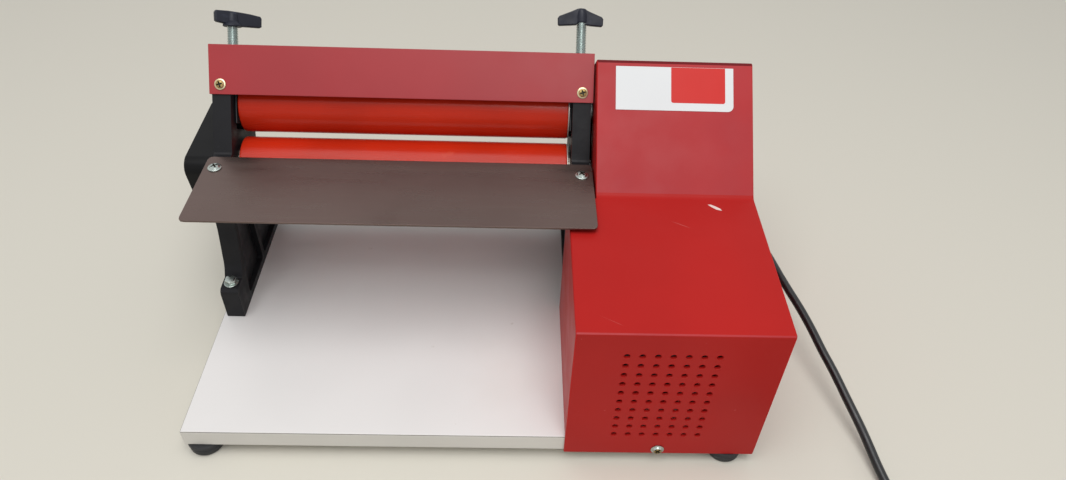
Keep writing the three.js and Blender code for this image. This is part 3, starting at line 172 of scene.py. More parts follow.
# Cloud is a scale and how much darker it gets, rough a scale and the span of the roughness, relief a scale,
# a stretch and a height, and each mark a second colour where its noise passes from start to end
finishes = {
    "redPaint": {
        "color": "b3221f", "cloud": (9, 0.08), "rough": (30, 0.34, 0.44), "slot": "red_paint",
        "relief": [(700, (1, 1, 1), 0.00001)],
        "marks": [
            {"scale": 26, "start": 0.72, "end": 0.80, "share": 0.5, "color": "c85a58"},
            {"scale": 14, "stretch": (1, 30, 30), "turn": 0.5, "start": 0.74, "end": 0.78, "share": 0.35,
             "color": "d98c88"}],
        "fixed": {"Specular IOR Level": 0.12}},
    # The guard's own copy of the red paint, pinker and glossier: a painted sheen
    "guardPaintedSheen": {
        "color": "a0262c", "cloud": (9, 0.08), "rough": (30, 0.36, 0.46), "slot": "red_paint",
        "relief": [(700, (1, 1, 1), 0.00001)],
        "marks": [
            {"scale": 26, "start": 0.72, "end": 0.80, "share": 0.4, "color": "c0605f"},
            {"scale": 9, "stretch": (1, 20, 20), "turn": 0.2, "start": 0.72, "end": 0.78, "share": 0.3,
             "color": "c98886"}],
        "fixed": {"Specular IOR Level": 0.52}},
    # The slope's copy of the red paint, glossier: a painted sheen on the housing's sloped faces
    "slopePaintedSheen": {
        "color": "ae262a", "cloud": (9, 0.1), "rough": (30, 0.38, 0.48), "slot": "red_paint",
        "relief": [(700, (1, 1, 1), 0.00001)],
        "marks": [
            {"scale": 16, "start": 0.5, "end": 0.8, "share": 0.3, "color": "9c2a33"},
            {"scale": 26, "start": 0.72, "end": 0.80, "share": 0.4, "color": "c0605f"}],
        "fixed": {"Specular IOR Level": 0.26}},
    # Darker red painted as shade on the guard's top faces and along the housing's roof
    "redPaintedShade": {
        "color": "6e1c20", "cloud": (9, 0.08), "rough": (30, 0.5, 0.6), "slot": "red_paint",
        "relief": [(700, (1, 1, 1), 0.00001)], "fixed": {"Specular IOR Level": 0.1}},
    "chipPale": {
        "color": "ecd6d0", "cloud": (300, 0.15), "rough": (300, 0.5, 0.7), "slot": "red_paint",
        "relief": [(1500, (1, 1, 1), 0.00002)]},
    "rollerRed": {
        "color": "c42c14", "cloud": (12, 0.14), "rough": (40, 0.2, 0.3), "slot": "roller_red",
        "roughStretch": (0.3, 6, 6), "relief": [(700, (0.02, 1, 1), 0.000012)],
        "marks": [
            {"scale": 500, "stretch": (0.03, 1, 1), "start": 0.62, "end": 0.70, "share": 0.2,
             "color": "a01a0c"},
            {"scale": 30, "start": 0.70, "end": 0.78, "share": 0.3, "color": "e06a4a"}],
        "fixed": {"Specular IOR Level": 0.2}},
    # Pale steel for the right end's boss and chamfer edge: bare steel with a painted highlight
    "rollerEndBareAndHighlight": {
        "color": "c9beb6", "cloud": (60, 0.15), "rough": (90, 0.3, 0.42), "slot": "roller_red",
        "relief": [(900, (1, 0.1, 0.1), 0.000006)], "fixed": {"Metallic": 0.4}},
    "blackCasting": {
        "color": "19191c", "cloud": (25, 0.22), "rough": (60, 0.42, 0.62), "slot": "black_casting",
        "relief": [(420, (1, 1, 1), 0.00008), (1600, (1, 1, 1), 0.00002)],
        "marks": [{"scale": 90, "start": 0.68, "end": 0.76, "share": 0.45, "color": "3c3c41"}],
        "fixed": {"Specular IOR Level": 0.2}},
    "coverBlack": {
        "color": "171718", "cloud": (10, 0.15), "rough": (40, 0.34, 0.46), "slot": "black_plastic",
        "relief": [(900, (1, 1, 1), 0.00001)],
        "marks": [{"scale": 60, "start": 0.72, "end": 0.78, "share": 0.3, "color": "303032"}],
        "fixed": {"Specular IOR Level": 0.1}},
    "trayTin": {
        "color": "6e5e59", "cloud": (7, 0.12), "rough": (18, 0.26, 0.36), "slot": "tray_steel",
        "roughStretch": (1, 8, 1), "relief": [(260, (0.04, 1, 1), 0.00001)],
        "marks": [
            {"scale": 160, "stretch": (0.05, 1, 1), "start": 0.55, "end": 0.75, "share": 0.25,
             "color": "75665f"},
            {"scale": 11, "start": 0.58, "end": 0.72, "share": 0.3, "color": "584742"},
            {"scale": 75, "start": 0.75, "end": 0.79, "share": 0.7, "color": "b0a69f"}],
        "fixed": {"Metallic": 0.85, "Specular IOR Level": 0.3}},
    "zinc": {
        "color": "b9c2bd", "cloud": (120, 0.25), "rough": (200, 0.22, 0.38), "slot": "zinc",
        "relief": [(1800, (1, 1, 1), 0.00001)],
        "marks": [{"scale": 400, "start": 0.62, "end": 0.72, "share": 0.4, "color": "7d8a82"}],
        "fixed": {"Metallic": 1.0}},
    "rodZinc": {
        "color": "b0bab7", "cloud": (60, 0.12), "rough": (200, 0.24, 0.34), "slot": "zinc",
        "relief": [(1800, (1, 1, 1), 0.000004)], "fixed": {"Metallic": 1.0}},
    "yellowZinc": {
        "color": "d6cba4", "cloud": (300, 0.2), "rough": (260, 0.3, 0.42), "slot": "zinc",
        "relief": [(1800, (1, 1, 1), 0.000006)],
        "marks": [{"scale": 500, "start": 0.6, "end": 0.72, "share": 0.4, "color": "a3966c"}],
        "fixed": {"Metallic": 1.0}},
    # Darker yellow zinc for the crown of a screw's dome: painted shade
    "yellowPaintedShade": {
        "color": "a58f5c", "cloud": (500, 0.35), "rough": (260, 0.34, 0.5), "slot": "zinc",
        "relief": [(1800, (1, 1, 1), 0.000006)], "fixed": {"Metallic": 1.0}},
    # Dark colour for the cross recess: painted shade
    "recessPaintedShade": {
        "color": "3a352c", "cloud": (400, 0.3), "rough": (300, 0.5, 0.7), "slot": "zinc",
        "relief": [(1800, (1, 1, 1), 0.00001)], "fixed": {"Metallic": 0.5}},
    "blockSteel": {
        "color": "3b3b3d", "cloud": (60, 0.2), "rough": (90, 0.4, 0.55), "slot": "steel",
        "relief": [(600, (1, 1, 1), 0.00002)], "fixed": {"Metallic": 0.6}},
    "turnedSteel": {
        "color": "a5a3a0", "cloud": (60, 0.2), "rough": (90, 0.26, 0.42), "slot": "steel",
        "roughStretch": (8, 0.5, 0.5), "relief": [(1400, (1, 0.05, 0.05), 0.000006)],
        "marks": [{"scale": 45, "start": 0.66, "end": 0.76, "share": 0.4, "color": "7c766e"}],
        "fixed": {"Metallic": 1.0}},
    "bronze": {
        "color": "a0968a", "cloud": (80, 0.22), "rough": (120, 0.3, 0.45), "slot": "bronze",
        "relief": [(1200, (1, 0.1, 0.1), 0.000006)], "fixed": {"Metallic": 1.0}},
    "rubber": {
        "color": "232427", "cloud": (40, 0.2), "rough": (160, 0.55, 0.75), "slot": "black_rubber",
        "relief": [(900, (1, 1, 1), 0.00003)],
        "marks": [{"scale": 55, "start": 0.62, "end": 0.74, "share": 0.35, "color": "4b4844"}]},
    "cordPvc": {
        "color": "141517", "cloud": (60, 0.2), "rough": (120, 0.3, 0.42), "slot": "black_rubber",
        "relief": [(600, (1, 1, 1), 0.00002)],
        "marks": [{"scale": 35, "start": 0.64, "end": 0.76, "share": 0.25, "color": "45454a"}]},
    "glandRubber": {
        "color": "222328", "cloud": (30, 0.15), "rough": (120, 0.4, 0.55), "slot": "black_rubber",
        "relief": [(1100, (1, 1, 1), 0.00002)]},
    "blackPlastic": {
        "color": "222328", "cloud": (30, 0.15), "rough": (120, 0.36, 0.5), "slot": "black_plastic",
        "relief": [(1100, (1, 1, 1), 0.00002)],
        "marks": [{"scale": 70, "start": 0.7, "end": 0.78, "share": 0.3, "color": "4a4b52"}]},
    "knobPlastic": {
        "color": "1b1e2a", "cloud": (45, 0.3), "rough": (150, 0.38, 0.55), "slot": "knob_plastic",
        "relief": [(1300, (1, 1, 1), 0.00002)],
        "marks": [{"scale": 110, "start": 0.62, "end": 0.74, "share": 0.3, "color": "3c4252"}],
        "fixed": {"Specular IOR Level": 0.3}},
    "laminate": {
        "color": "ebe9e7", "cloud": (4, 0.05), "rough": (14, 0.30, 0.44), "slot": "white_laminate",
        "relief": [(1000, (1, 1, 1), 0.000006)],
        "marks": [
            {"scale": 6, "start": 0.55, "end": 0.8, "share": 0.25, "color": "d8cfc4"},
            {"scale": 90, "start": 0.74, "end": 0.80, "share": 0.35, "color": "b9b2a8"},
            {"scale": 18, "stretch": (1, 24, 24), "turn": 0.9, "start": 0.74, "end": 0.78, "share": 0.3,
             "color": "bdb8b0"}]},
    "edgeBand": {
        "color": "dcd9d3", "cloud": (8, 0.08), "rough": (30, 0.4, 0.55), "slot": "white_laminate",
        "relief": [(200, (0.2, 1, 1), 0.00002)],
        "marks": [{"scale": 40, "stretch": (0.3, 1, 1), "start": 0.6, "end": 0.8, "share": 0.4,
                   "color": "c3bbae"}]},
    "edgeJoint": {
        "color": "7f7a70", "cloud": (60, 0.3), "rough": (60, 0.5, 0.65), "slot": "white_laminate",
        "relief": [(500, (0.3, 1, 1), 0.00002)]},
    "motorGrey": {
        "color": "6a7078", "cloud": (30, 0.2), "rough": (80, 0.45, 0.6), "slot": "motor_grey",
        "relief": [(350, (1, 1, 1), 0.00006)], "fixed": {"Metallic": 0.3}},
    "labelWhite": {
        "color": "dfe1e2", "cloud": (12, 0.03), "rough": (40, 0.34, 0.42), "slot": "white_laminate",
        "relief": [(500, (1, 1, 1), 0.00001)], "fixed": {"Specular IOR Level": 0.15}},
    "labelRed": {
        "color": "cd3733", "cloud": (15, 0.06), "rough": (40, 0.34, 0.42), "slot": "red_paint",
        "relief": [(500, (1, 1, 1), 0.00001)], "fixed": {"Specular IOR Level": 0.12}}}
paints = {name: makeFinish(name, spec) for name, spec in finishes.items()}
print("finishes made:", len(paints))


def looseObject(name, made):
    data = bpy.data.meshes.new(name)
    made.to_mesh(data)
    made.free()
    loose = bpy.data.objects.new(name, data)
    bpy.context.scene.collection.objects.link(loose)
    return loose


shading = {"sharpFrom": 32, "flatWeight": 90}    # an angle in degrees, and how much more large faces count


# Every piece ends here: its mesh laid in the frame, shaded, painted and riding on its body
def addPiece(name, made, matrix, finish, body, replaces=()):
    if matrix is not None:
        bmesh.ops.transform(made, matrix=matrix, verts=made.verts)
    piece = looseObject(name, made)
    piece.data.shade_smooth()
    piece.data.set_sharp_from_angle(angle=math.radians(shading["sharpFrom"]))
    piece.data.materials.append(paints[finish])
    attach(piece, body)
    if replaces:
        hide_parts(*replaces)
    return piece


# A second finish on some of a piece's faces
def paintFaces(piece, finish, wanted):
    piece.data.materials.append(paints[finish])
    for face in piece.data.polygons:
        if wanted(face):
            face.material_index = len(piece.data.materials) - 1


# Flat faces stay flat beside their rounded edges
def evenShading(piece):
    even = piece.modifiers.new("evenShading", "WEIGHTED_NORMAL")
    even.mode = "FACE_AREA"
    even.weight = shading["flatWeight"]
    even.keep_sharp = True


# How near two points are merged, in millimetres
weld = {"spun": 0.0005, "thread": 0.002, "solid": 0.02}


def drawProfile(made, profile):
    points = [made.verts.new((radius, 0, along)) for radius, along in profile]
    return points, [made.edges.new(pair) for pair in zip(points, points[1:])]


def spun(profile, steps=48, ring=False):
    made = bmesh.new()
    points, edges = drawProfile(made, profile)
    if ring:
        edges.append(made.edges.new((points[-1], points[0])))
    bmesh.ops.spin(
        made, geom=points + edges, cent=(0, 0, 0), axis=(0, 0, 1), dvec=(0, 0, 0), angle=fullTurn,
        steps=steps, use_merge=True, use_normal_flip=False, use_duplicate=False)
    bmesh.ops.remove_doubles(made, verts=made.verts, dist=weld["spun"])
    bmesh.ops.recalc_face_normals(made, faces=made.faces)
    return made


def roundEdges(made, edges, soft, segments):
    bmesh.ops.bevel(
        made, geom=edges, offset=soft, offset_type="OFFSET", segments=segments, profile=0.5, affect="EDGES",
        clamp_overlap=True, material=-1)


# A flat outline given a thickness
def slab(corners, rise):
    made = bmesh.new()
    face = made.faces.new([made.verts.new(corner) for corner in corners])
    grown = bmesh.ops.extrude_face_region(made, geom=[face])
    moved = [item for item in grown["geom"] if isinstance(item, bmesh.types.BMVert)]
    bmesh.ops.translate(made, vec=rise, verts=moved)
    return made


def block(lowX, highX, lowY, highY, lowZ, highZ, soft, segments):
    made = bmesh.new()
    size = Matrix.Diagonal((highX - lowX, highY - lowY, highZ - lowZ, 1))
    middle = Matrix.Translation(((lowX + highX) / 2, (lowY + highY) / 2, (lowZ + highZ) / 2))
    bmesh.ops.create_cube(made, size=1, matrix=middle @ size)
    roundEdges(made, made.edges[:], soft, segments)
    return made


def addTo(made, other):
    data = bpy.data.meshes.new("part")
    other.to_mesh(data)
    other.free()
    made.from_mesh(data)
    bpy.data.meshes.remove(data)


# A CAD solid with its corners broken: a merged copy whose sharp edges get a small round
breakFrom = math.radians(28)
flatWithin = math.radians(1)


def mergedCopy(node):
    made = bmesh.new()
    made.from_mesh(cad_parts[node].data)
    bmesh.ops.remove_doubles(made, verts=made.verts, dist=weld["solid"] * mm)
    bmesh.ops.dissolve_limit(
        made, angle_limit=flatWithin, use_dissolve_boundaries=False, verts=made.verts[:], edges=made.edges[:])
    return made


def broken(made, soft, segments, wanted):
    sharp = [edge for edge in made.edges if len(edge.link_faces) == 2 and wanted(edge)]
    roundEdges(made, sharp, soft * mm, segments)
    return made


def softened(node, soft, segments=2):
    return broken(mergedCopy(node), soft, segments, lambda edge: edge.calc_face_angle() > breakFrom)


# Mains cord: out of the gland, down to the floor, into its coil and out to the plug. Half of the coil's turns
# spiral in on the floor, the other half out on top of them, and the climb takes half a turn
cord = {
    "diameter": 8, "length": 1.59, "tip": (497.6, 240, 24.5), "roundness": 4, "smoothness": 5,
    "run": [(508, 238.7, 24.4), (517.1, 234.9, 24.2), (524.9, 228.9, 23.8), (530.8, 221, 23.3),
            (534.5, 211.9, 22.7), (541.9, 180.8, 20.5), (547.4, 161, 18), (554.5, 137.4, 14.8),
            (560.2, 115.1, 11.2), (565, 94, 7.2), (571.1, 72.7, 2.4), (577.6, 48, -4.2),
            (585.5, 20, -12.6), (592.8, -18.2, -21.2), (598.5, -46, -24.5), (600, -76, -24.5),
            (600, -94, -24.5)],
    "turns": 4, "coilX": 545.2, "coilY": -112, "low": -24.5, "inner": 37.2, "pitch": 8.8, "stepsPerTurn": 24,
    "tail": [(600, -124.3), (603, -138.3), (606, -152.3), (606, -157)]}


def coilPlaces():
    steps = cord["turns"] * cord["stepsPerTurn"]
    half = cord["turns"] / 2
    for step in range(steps + 1):
        turn = cord["turns"] * step / steps
        radius = cord["inner"] + cord["pitch"] * abs(turn - half)
        share = min(max(2 * (turn - half) + 0.5, 0), 1)
        rise = share * share * (3 - 2 * share)
        x = cord["coilX"] + radius * math.cos(fullTurn * turn)
        y = cord["coilY"] - radius * math.sin(fullTurn * turn)
        yield x, y, cord["low"] + cord["pitch"] * rise


def layCord():
    upper = cord["low"] + cord["pitch"]
    places = [cord["tip"], *cord["run"], *coilPlaces(), *((x, y, upper) for x, y in cord["tail"])]
    curve = bpy.data.curves.new("mains_cord", "CURVE")
    curve.dimensions = "3D"
    curve.bevel_depth = cord["diameter"] / 2 * mm
    curve.bevel_resolution = cord["roundness"]
    curve.resolution_u = cord["smoothness"]
    curve.use_fill_caps = True
    spline = curve.splines.new("BEZIER")
    spline.bezier_points.add(len(places) - 1)
    for point, place in zip(spline.bezier_points, places):
        point.co = onBoard @ Vector(place)
        point.handle_left_type = "AUTO"
        point.handle_right_type = "AUTO"
    curve.materials.append(paints["cordPvc"])
    piece = bpy.data.objects.new("mains_cord", curve)
    bpy.context.scene.collection.objects.link(piece)
    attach(piece, "stand")
    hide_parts("cord_run", "cord_coil", "cord_tail")
    print("cord length", round(spline.calc_length(resolution=64), 4))
    return piece


# Ribbed gland at the housing's right wall: a rib's points are shares of its pitch, and depths
gland = {
    "x": 485.1, "y": 240, "z": 24.5, "flange": 11, "flangeThick": 4, "length": 12.5, "tip": 5.4, "base": 8,
    "backEdge": (0.4, 0.5), "frontEdge": 0.8, "ribs": 3, "steps": 40,
    "rib": [(0, 1), (0.3, 1), (0.38, 0.2), (0.5, 0), (0.85, 0), (1, 0.3)]}


def makeGland():
    flange, thick, front = gland["flange"], gland["flangeThick"], gland["frontEdge"]
    inward, along = gland["backEdge"]
    pitch = (gland["length"] - thick) / gland["ribs"]
    profile = [
        (0, 0), (flange - inward, 0), (flange, along), (flange, thick - front), (flange - front, thick)]
    for rib in range(gland["ribs"]):
        radius = gland["base"] + (gland["tip"] - gland["base"]) * rib / (gland["ribs"] - 1)
        start = thick + rib * pitch
        profile += [(radius - depth, start + pitch * share) for share, depth in gland["rib"]]
    profile += [(cord["diameter"] / 2, gland["length"]), (0, gland["length"])]
    place = onBoard @ Matrix.Translation((gland["x"], gland["y"], gland["z"])) @ alongX
    made = spun(profile, gland["steps"])
    return addPiece("ribbed_gland", made, place, "glandRubber", "stand", ["cord_gland"])


plug = addPiece("moulded_plug", softened("cord_plug", 2.2, 3), None, "blackPlastic", "stand", ["cord_plug"])
tie = addPiece("cord_strap", softened("cord_tie", 0.4), None, "blackPlastic", "stand", ["cord_tie"])
mainsCord = layCord()
makeGland()
print("cord laid")


# Board: faces that rise less than topFrom are its edge band, and the upper ones from jointFrom on its joint
board = {
    "width": 483, "depth": 320, "thick": 18, "round": 1.2, "roundSteps": 3, "topFrom": 0.9, "jointFrom": 0.6}


def makeBoard():
    width, depth, thick = (board[key] for key in ("width", "depth", "thick"))
    made = block(0, width, 0, depth, -thick, 0, board["round"], board["roundSteps"])
    piece = addPiece("white_board", made, onBoard, "laminate", "stand", ["base_board"])
    evenShading(piece)
    paintFaces(piece, "edgeBand", lambda face: abs(face.normal.z) < board["topFrom"])
    paintFaces(piece, "edgeJoint", lambda face: board["jointFrom"] < face.normal.z < board["topFrom"])


# Rubber feet: the front ones stand nearer the board's edge, and the waist's heights are shares of the foot's
foot = {
    "inset": 17, "leftward": 3, "forward": 6, "top": 15.4, "base": 14.7, "high": 11.9, "low": -30,
    "recess": 4, "recessDeep": 3, "lip": 0.6, "baseEdge": [(-2.2, 0), (-0.8, 0.5), (0, 1.8)],
    "waistShare": 0.55, "waist": [(0, 0.55), (-0.5, 0.6), (-0.5, 0.64), (0.3, 0.69)],
    "topEdge": [(-0.2, -0.8), (-0.8, 0)]}


def makeFeet():
    top, base, low, high, recess = (foot[key] for key in ("top", "base", "low", "high", "recess"))
    deep, lip, waist = low + foot["recessDeep"], foot["lip"], base + (top - base) * foot["waistShare"]
    profile = [
        (0, deep), (recess, deep), (recess, low + lip), (recess + lip, low),
        *((base + out, low + up) for out, up in foot["baseEdge"]),
        *((waist + out, low + high * share) for out, share in foot["waist"]),
        *((top + out, low + high + up) for out, up in foot["topEdge"]), (0, low + high)]
    columns = {"left": foot["inset"], "right": board["width"] - foot["inset"]}
    rows = {"front": foot["inset"] - foot["forward"], "back": board["depth"] - foot["inset"]}
    for side, x in columns.items():
        for row, y in rows.items():
            leftward = foot["leftward"] if row == "front" else 0
            place = onBoard @ Matrix.Translation((x - leftward, y, 0))
            made = spun(profile)
            addPiece(f"rubber_foot_{row}_{side}", made, place, "rubber", "stand", [f"foot_{row}_{side}"])


makeBoard()
makeFeet()
print("board and feet made")

# Castings, sheets and mouldings whose solids have the right shape get their corners broken, in millimetres
brokenCorners = {
    "side_frame_left": (0.9, "blackCasting", "stand"),
    "side_frame_right": (0.9, "blackCasting", "stand"),
    "head_cap_left": (0.6, "blackCasting", "stand"),
    "head_cap_right": (0.6, "blackCasting", "stand"),
    "feed_tray": (0.5, "trayTin", "stand"),
    # The guard takes the pinker, glossier copy of the red paint as a painted sheen
    "roller_guard": (0.6, "guardPaintedSheen", "stand"),
    "bearing_block_left": (0.6, "blockSteel", "upper_carriage"),
    "bearing_block_right": (0.6, "blockSteel", "upper_carriage"),
    "switch_bezel": (0.5, "blackPlastic", "stand"),
    "switch_rocker": (0.5, "blackPlastic", "switch_rocker"),
    "motor_saddle": (0.8, "blackCasting", "stand"),
    "countershaft_bracket": (0.8, "blackCasting", "stand")}
guardTopFrom = 0.4    # the guard's faces that look up the head by more than this share are darker
for node, (soft, finish, body) in brokenCorners.items():
    piece = addPiece(f"{node}_finished", softened(node, soft), None, finish, body, [node])
    evenShading(piece)
    # The guard's faces that look up the head are painted darker as shade
    if node == "roller_guard":
        paintFaces(piece, "redPaintedShade", lambda face: face.normal.dot(upHead) > guardTopFrom)
print("corners broken")

# Left end cover: a drawn shell with rounded corners and a small round at its rim
cover = {
    "left": -20, "right": 4.3, "wall": 1.5, "rim": 1.2, "rimShare": 0.3, "corner": 12, "steps": 8,
    "corners": [(194, 60), (288, 60), (288, 144.6), (182, 140.6)]}


def coverRing(inset):
    corners = [Vector(corner) for corner in cover["corners"]]
    points = []
    for index, corner in enumerate(corners):
        back = (corners[index - 1] - corner).normalized()
        ahead = (corners[(index + 1) % len(corners)] - corner).normalized()
        half = back.angle(ahead) / 2
        middle = corner + (back + ahead).normalized() * (cover["corner"] / math.sin(half))
        radius = cover["corner"] - inset
        start = -(back.orthogonal() if back.orthogonal().dot(ahead) > 0 else -back.orthogonal())
        end = -(ahead.orthogonal() if ahead.orthogonal().dot(back) > 0 else -ahead.orthogonal())
        for step in range(cover["steps"] + 1):
            share = step / cover["steps"]
            points.append(middle + start.slerp(end, share) * radius)
    return points


def makeCover():
    left, right, wall, rim = (cover[key] for key in ("left", "right", "wall", "rim"))
    turned = rim * cover["rimShare"]
    levels = [(right, 0), (left + rim, 0), (left + turned, turned), (left, rim)]
    inner = [(left + wall, wall + rim), (left + wall + rim, wall), (right, wall)]
    made = bmesh.new()
    rings = [[made.verts.new((x, y, z)) for y, z in coverRing(inset)] for x, inset in levels + inner]
    lastOuter, firstInner, count = len(levels) - 1, len(levels), len(rings[0])
    for index, ring in enumerate(rings):
        if index != lastOuter:
            after = rings[(index + 1) % len(rings)]
            for step in range(count):
                turn = (step + 1) % count
                made.faces.new((ring[step], ring[turn], after[turn], after[step]))
    made.faces.new(rings[lastOuter])
    made.faces.new(rings[firstInner])
    bmesh.ops.recalc_face_normals(made, faces=made.faces)
    evenShading(addPiece("drawn_end_cover", made, onBoard, "coverBlack", "stand", ["left_end_cover"]))


makeCover()
print("cover made")

# Motor housing: each bend is its wall's place, its round, the round's steps and the height where it ends
slope = {"y0": 153.6, "z0": 138, "y1": 243.4, "z1": 220.8}    # lower and upper end of the sloped panel
housing = {
    "round": 0.55, "roundSteps": 2, "shortest": 9, "near": 0.05, "bendFrom": 1, "slopeFrom": 0.6,
    "roofFrom": 0.76, "roofDrop": 3,
    "bends": [(346.2, 3, 4, 137.5), (321.7, 1.6, 3, -17.5), (485, 1.6, 3, -17.5)]}


def makeHousing():
    made = mergedCopy("motor_housing")
    for wallX, soft, segments, low in housing["bends"]:
        wall, bottom = (onBoard @ Vector((wallX, 0, 0))).x, (onBoard @ Vector((0, 0, low))).z
        broken(made, soft, segments, lambda edge: all(
            abs(vert.co.x - wall) < housing["near"] * mm for vert in edge.verts)
            and edge.calc_face_angle_signed() > housing["bendFrom"]
            and max(vert.co.z for vert in edge.verts) > bottom)
    shortest = housing["shortest"] * mm
    broken(made, housing["round"], housing["roundSteps"], lambda edge: (
        edge.calc_length() >= shortest and edge.calc_face_angle() > breakFrom))
    piece = addPiece("motor_housing_finished", made, None, "redPaint", "stand", ["motor_housing"])
    evenShading(piece)
    steep, roof = housing["slopeFrom"], housing["roofFrom"]
    # The sloped faces take the glossier copy of the paint: a painted sheen
    paintFaces(piece, "slopePaintedSheen", lambda face: face.normal.y < -steep and face.normal.z > steep)
    # Faces along the roof take the darker red: painted shade
    peak = (onBoard @ Vector((0, 0, slope["z1"] - housing["roofDrop"]))).z
    paintFaces(piece, "redPaintedShade", lambda face: face.normal.z > roof and face.center.z > peak)


# Drawn lips of the vents: a lip's points are out from the vent's radius, and in from the front
vents = {
    "left": 362, "low": 9.2, "front": -2.3, "pitchX": 11.7, "pitchZ": 11.2, "columns": 7, "rows": 10,
    "radius": 2.75, "steps": 14, "lip": [
        (0.45, -0.05), (0.1, -0.12), (-0.15, 0.1), (-0.3, 0.7), (-0.35, 2.4), (-0.1, 2.4), (0.3, 0.9),
        (0.45, 0.3)]}


def makeVents():
    profile = [(vents["radius"] + out, inward) for out, inward in vents["lip"]]
    lips = bmesh.new()
    for row in range(vents["rows"]):
        for column in range(vents["columns"]):
            lip = spun(profile, vents["steps"], True)
            x = vents["left"] + column * vents["pitchX"]
            z = vents["low"] + row * vents["pitchZ"]
            place = Matrix.Translation((x, vents["front"], z)) @ towardsFront @ Matrix.Scale(-1, 4, (0, 0, 1))
            bmesh.ops.transform(lip, matrix=place, verts=lip.verts)
            bmesh.ops.recalc_face_normals(lip, faces=lip.faces)
            addTo(lips, lip)
    addPiece("vent_lips", lips, onBoard, "redPaint", "stand")


makeHousing()
makeVents()
print("housing made")

# Rollers: coated sleeves with chamfered ends, and a bare boss at the right one, painted pale with the outer
# edge of its chamfer as bare steel and a painted highlight
roller = {
    "length": 300, "radius": 25, "bore": 10.1, "chamfer": 1.2, "dip": 0.3, "dipShare": 0.35, "band": 0.4,
    "steps": 96, "boss": 0.8, "bossIn": 0.6, "bossSoft": 0.2, "bareAndHighlightShare": 0.4}


def makeRoller(name, node, body):
    low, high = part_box(node)
    centre = (low + high) / 2
    length, radius, bore, chamfer = (roller[key] for key in ("length", "radius", "bore", "chamfer"))
    band, dipped, dip = roller["band"], radius - roller["dip"], chamfer * roller["dipShare"]
    end, neck, soft = length + roller["boss"], radius - roller["bossIn"], roller["bossSoft"]
    profile = [
        (bore, 0), (radius - chamfer, 0), (dipped, dip), (radius, chamfer), (radius, chamfer + band),
        (radius, length / 2), (radius, length - chamfer - band), (radius, length - chamfer),
        (dipped, length - dip), (neck, length), (neck, end - soft), (neck - soft, end), (bore, end)]
    place = Matrix.Translation((low.x, centre.y, centre.z)) @ alongX @ Matrix.Scale(mm, 4)
    piece = addPiece(name, spun(profile, roller["steps"], True), place, "rollerRed", body, [node])
    # The boss and the outer edge of the right chamfer are painted pale: bare steel and a painted highlight
    bareAndHighlightFrom = low.x + (length - chamfer * roller["bareAndHighlightShare"]) * mm
    paintFaces(piece, "rollerEndBareAndHighlight", lambda face: face.center.x > bareAndHighlightFrom)


makeRoller("lower_roller_sleeve", "lower_roller", "lower_roller")
makeRoller("upper_roller_sleeve", "upper_roller", "upper_roller")
print("rollers made")

# Adjusting screws with their rolled thread, whose points are shares of its depth and of its pitch
screw = {
    "radius": 4.9, "depth": 0.9, "pitch": 1.5, "steps": 24, "across": 33, "low": 61.9,
    "tops": {"left": 121, "right": 130.7}, "threadShares": [(0, 0), (0, 0.12), (1, 0.46), (1, 0.6), (0, 1)],
    "cutNear": 0.001}


# Two turns more than the length needs are spun, and both ends cut flat
def makeScrew(side, high):
    radius, depth, pitch, steps = (screw[key] for key in ("radius", "depth", "pitch", "steps"))
    length = high - screw["low"]
    turns = math.ceil(length / pitch) + 2
    made = bmesh.new()
    points, edges = drawProfile(
        made, [(radius - depth * down, pitch * along - pitch) for down, along in screw["threadShares"]])
    bmesh.ops.spin(
        made, geom=points + edges, cent=(0, 0, 0), axis=(0, 0, 1), dvec=(0, 0, pitch / steps),
        angle=fullTurn * turns, steps=steps * turns, use_merge=False, use_normal_flip=False,
        use_duplicate=False)
    bmesh.ops.remove_doubles(made, verts=made.verts, dist=weld["thread"])
    for level, normal in ((0, (0, 0, -1)), (length, (0, 0, 1))):
        bmesh.ops.bisect_plane(
            made, geom=made.verts[:] + made.edges[:] + made.faces[:], dist=screw["cutNear"],
            plane_co=(0, 0, level), plane_no=normal, clear_outer=True)
    bmesh.ops.holes_fill(made, edges=[edge for edge in made.edges if edge.is_boundary], sides=0)
    bmesh.ops.recalc_face_normals(made, faces=made.faces)
    place = onHead @ Matrix.Translation((postMiddle[side], screw["across"], screw["low"]))
    addPiece(f"threaded_screw_{side}", made, place, "rodZinc", f"{side}_screw", [f"adjusting_screw_{side}"])


for side, high in screw["tops"].items():
    makeScrew(side, high)
print("adjusting screws made")

# Wing knobs: the left one nearly flat on top, the right one peaked. Each has half of its outline, its shift
# beside the screw's axis and its lean down to the right
knobs = {
    "left": {
        "base": 113.8, "high": 13.6, "turn": 38, "shift": 5.2, "lean": 0.045, "hub": 8.6, "outline": [
            (0, 0.6), (9, 1.4), (19.8, 2.2), (21.2, 3.2), (21.4, 10.8), (20.2, 12.6), (10, 13.4), (0, 13.5)]},
    "right": {
        "base": 125.6, "high": 13.1, "turn": 2, "shift": -1.2, "lean": 0, "hub": 5.6, "outline": [
            (0, -0.4), (2.6, -0.6), (3.6, -2), (10, -2.6), (19.6, -3.2), (21, -2.5), (21.2, 3.8), (19.8, 5.6),
            (9, 9.8), (3, 12.5), (0, 13)]}}
knobForm = {
    "half": 3.6, "soft": 1.1, "softSteps": 3, "rimFrom": 60, "taper": 0.2, "long": 21, "hubSteps": 28,
    "hubTop": 4.6, "hubFoot": [(-0.8, 0), (-0.2, 0.3), (0, 0.9)], "waistShare": 0.97, "waist": 2,
    "neck": (0.9, 5), "hubHead": [(0.4, -2.4), (-0.3, -1.1), (-1.6, -0.3)]}


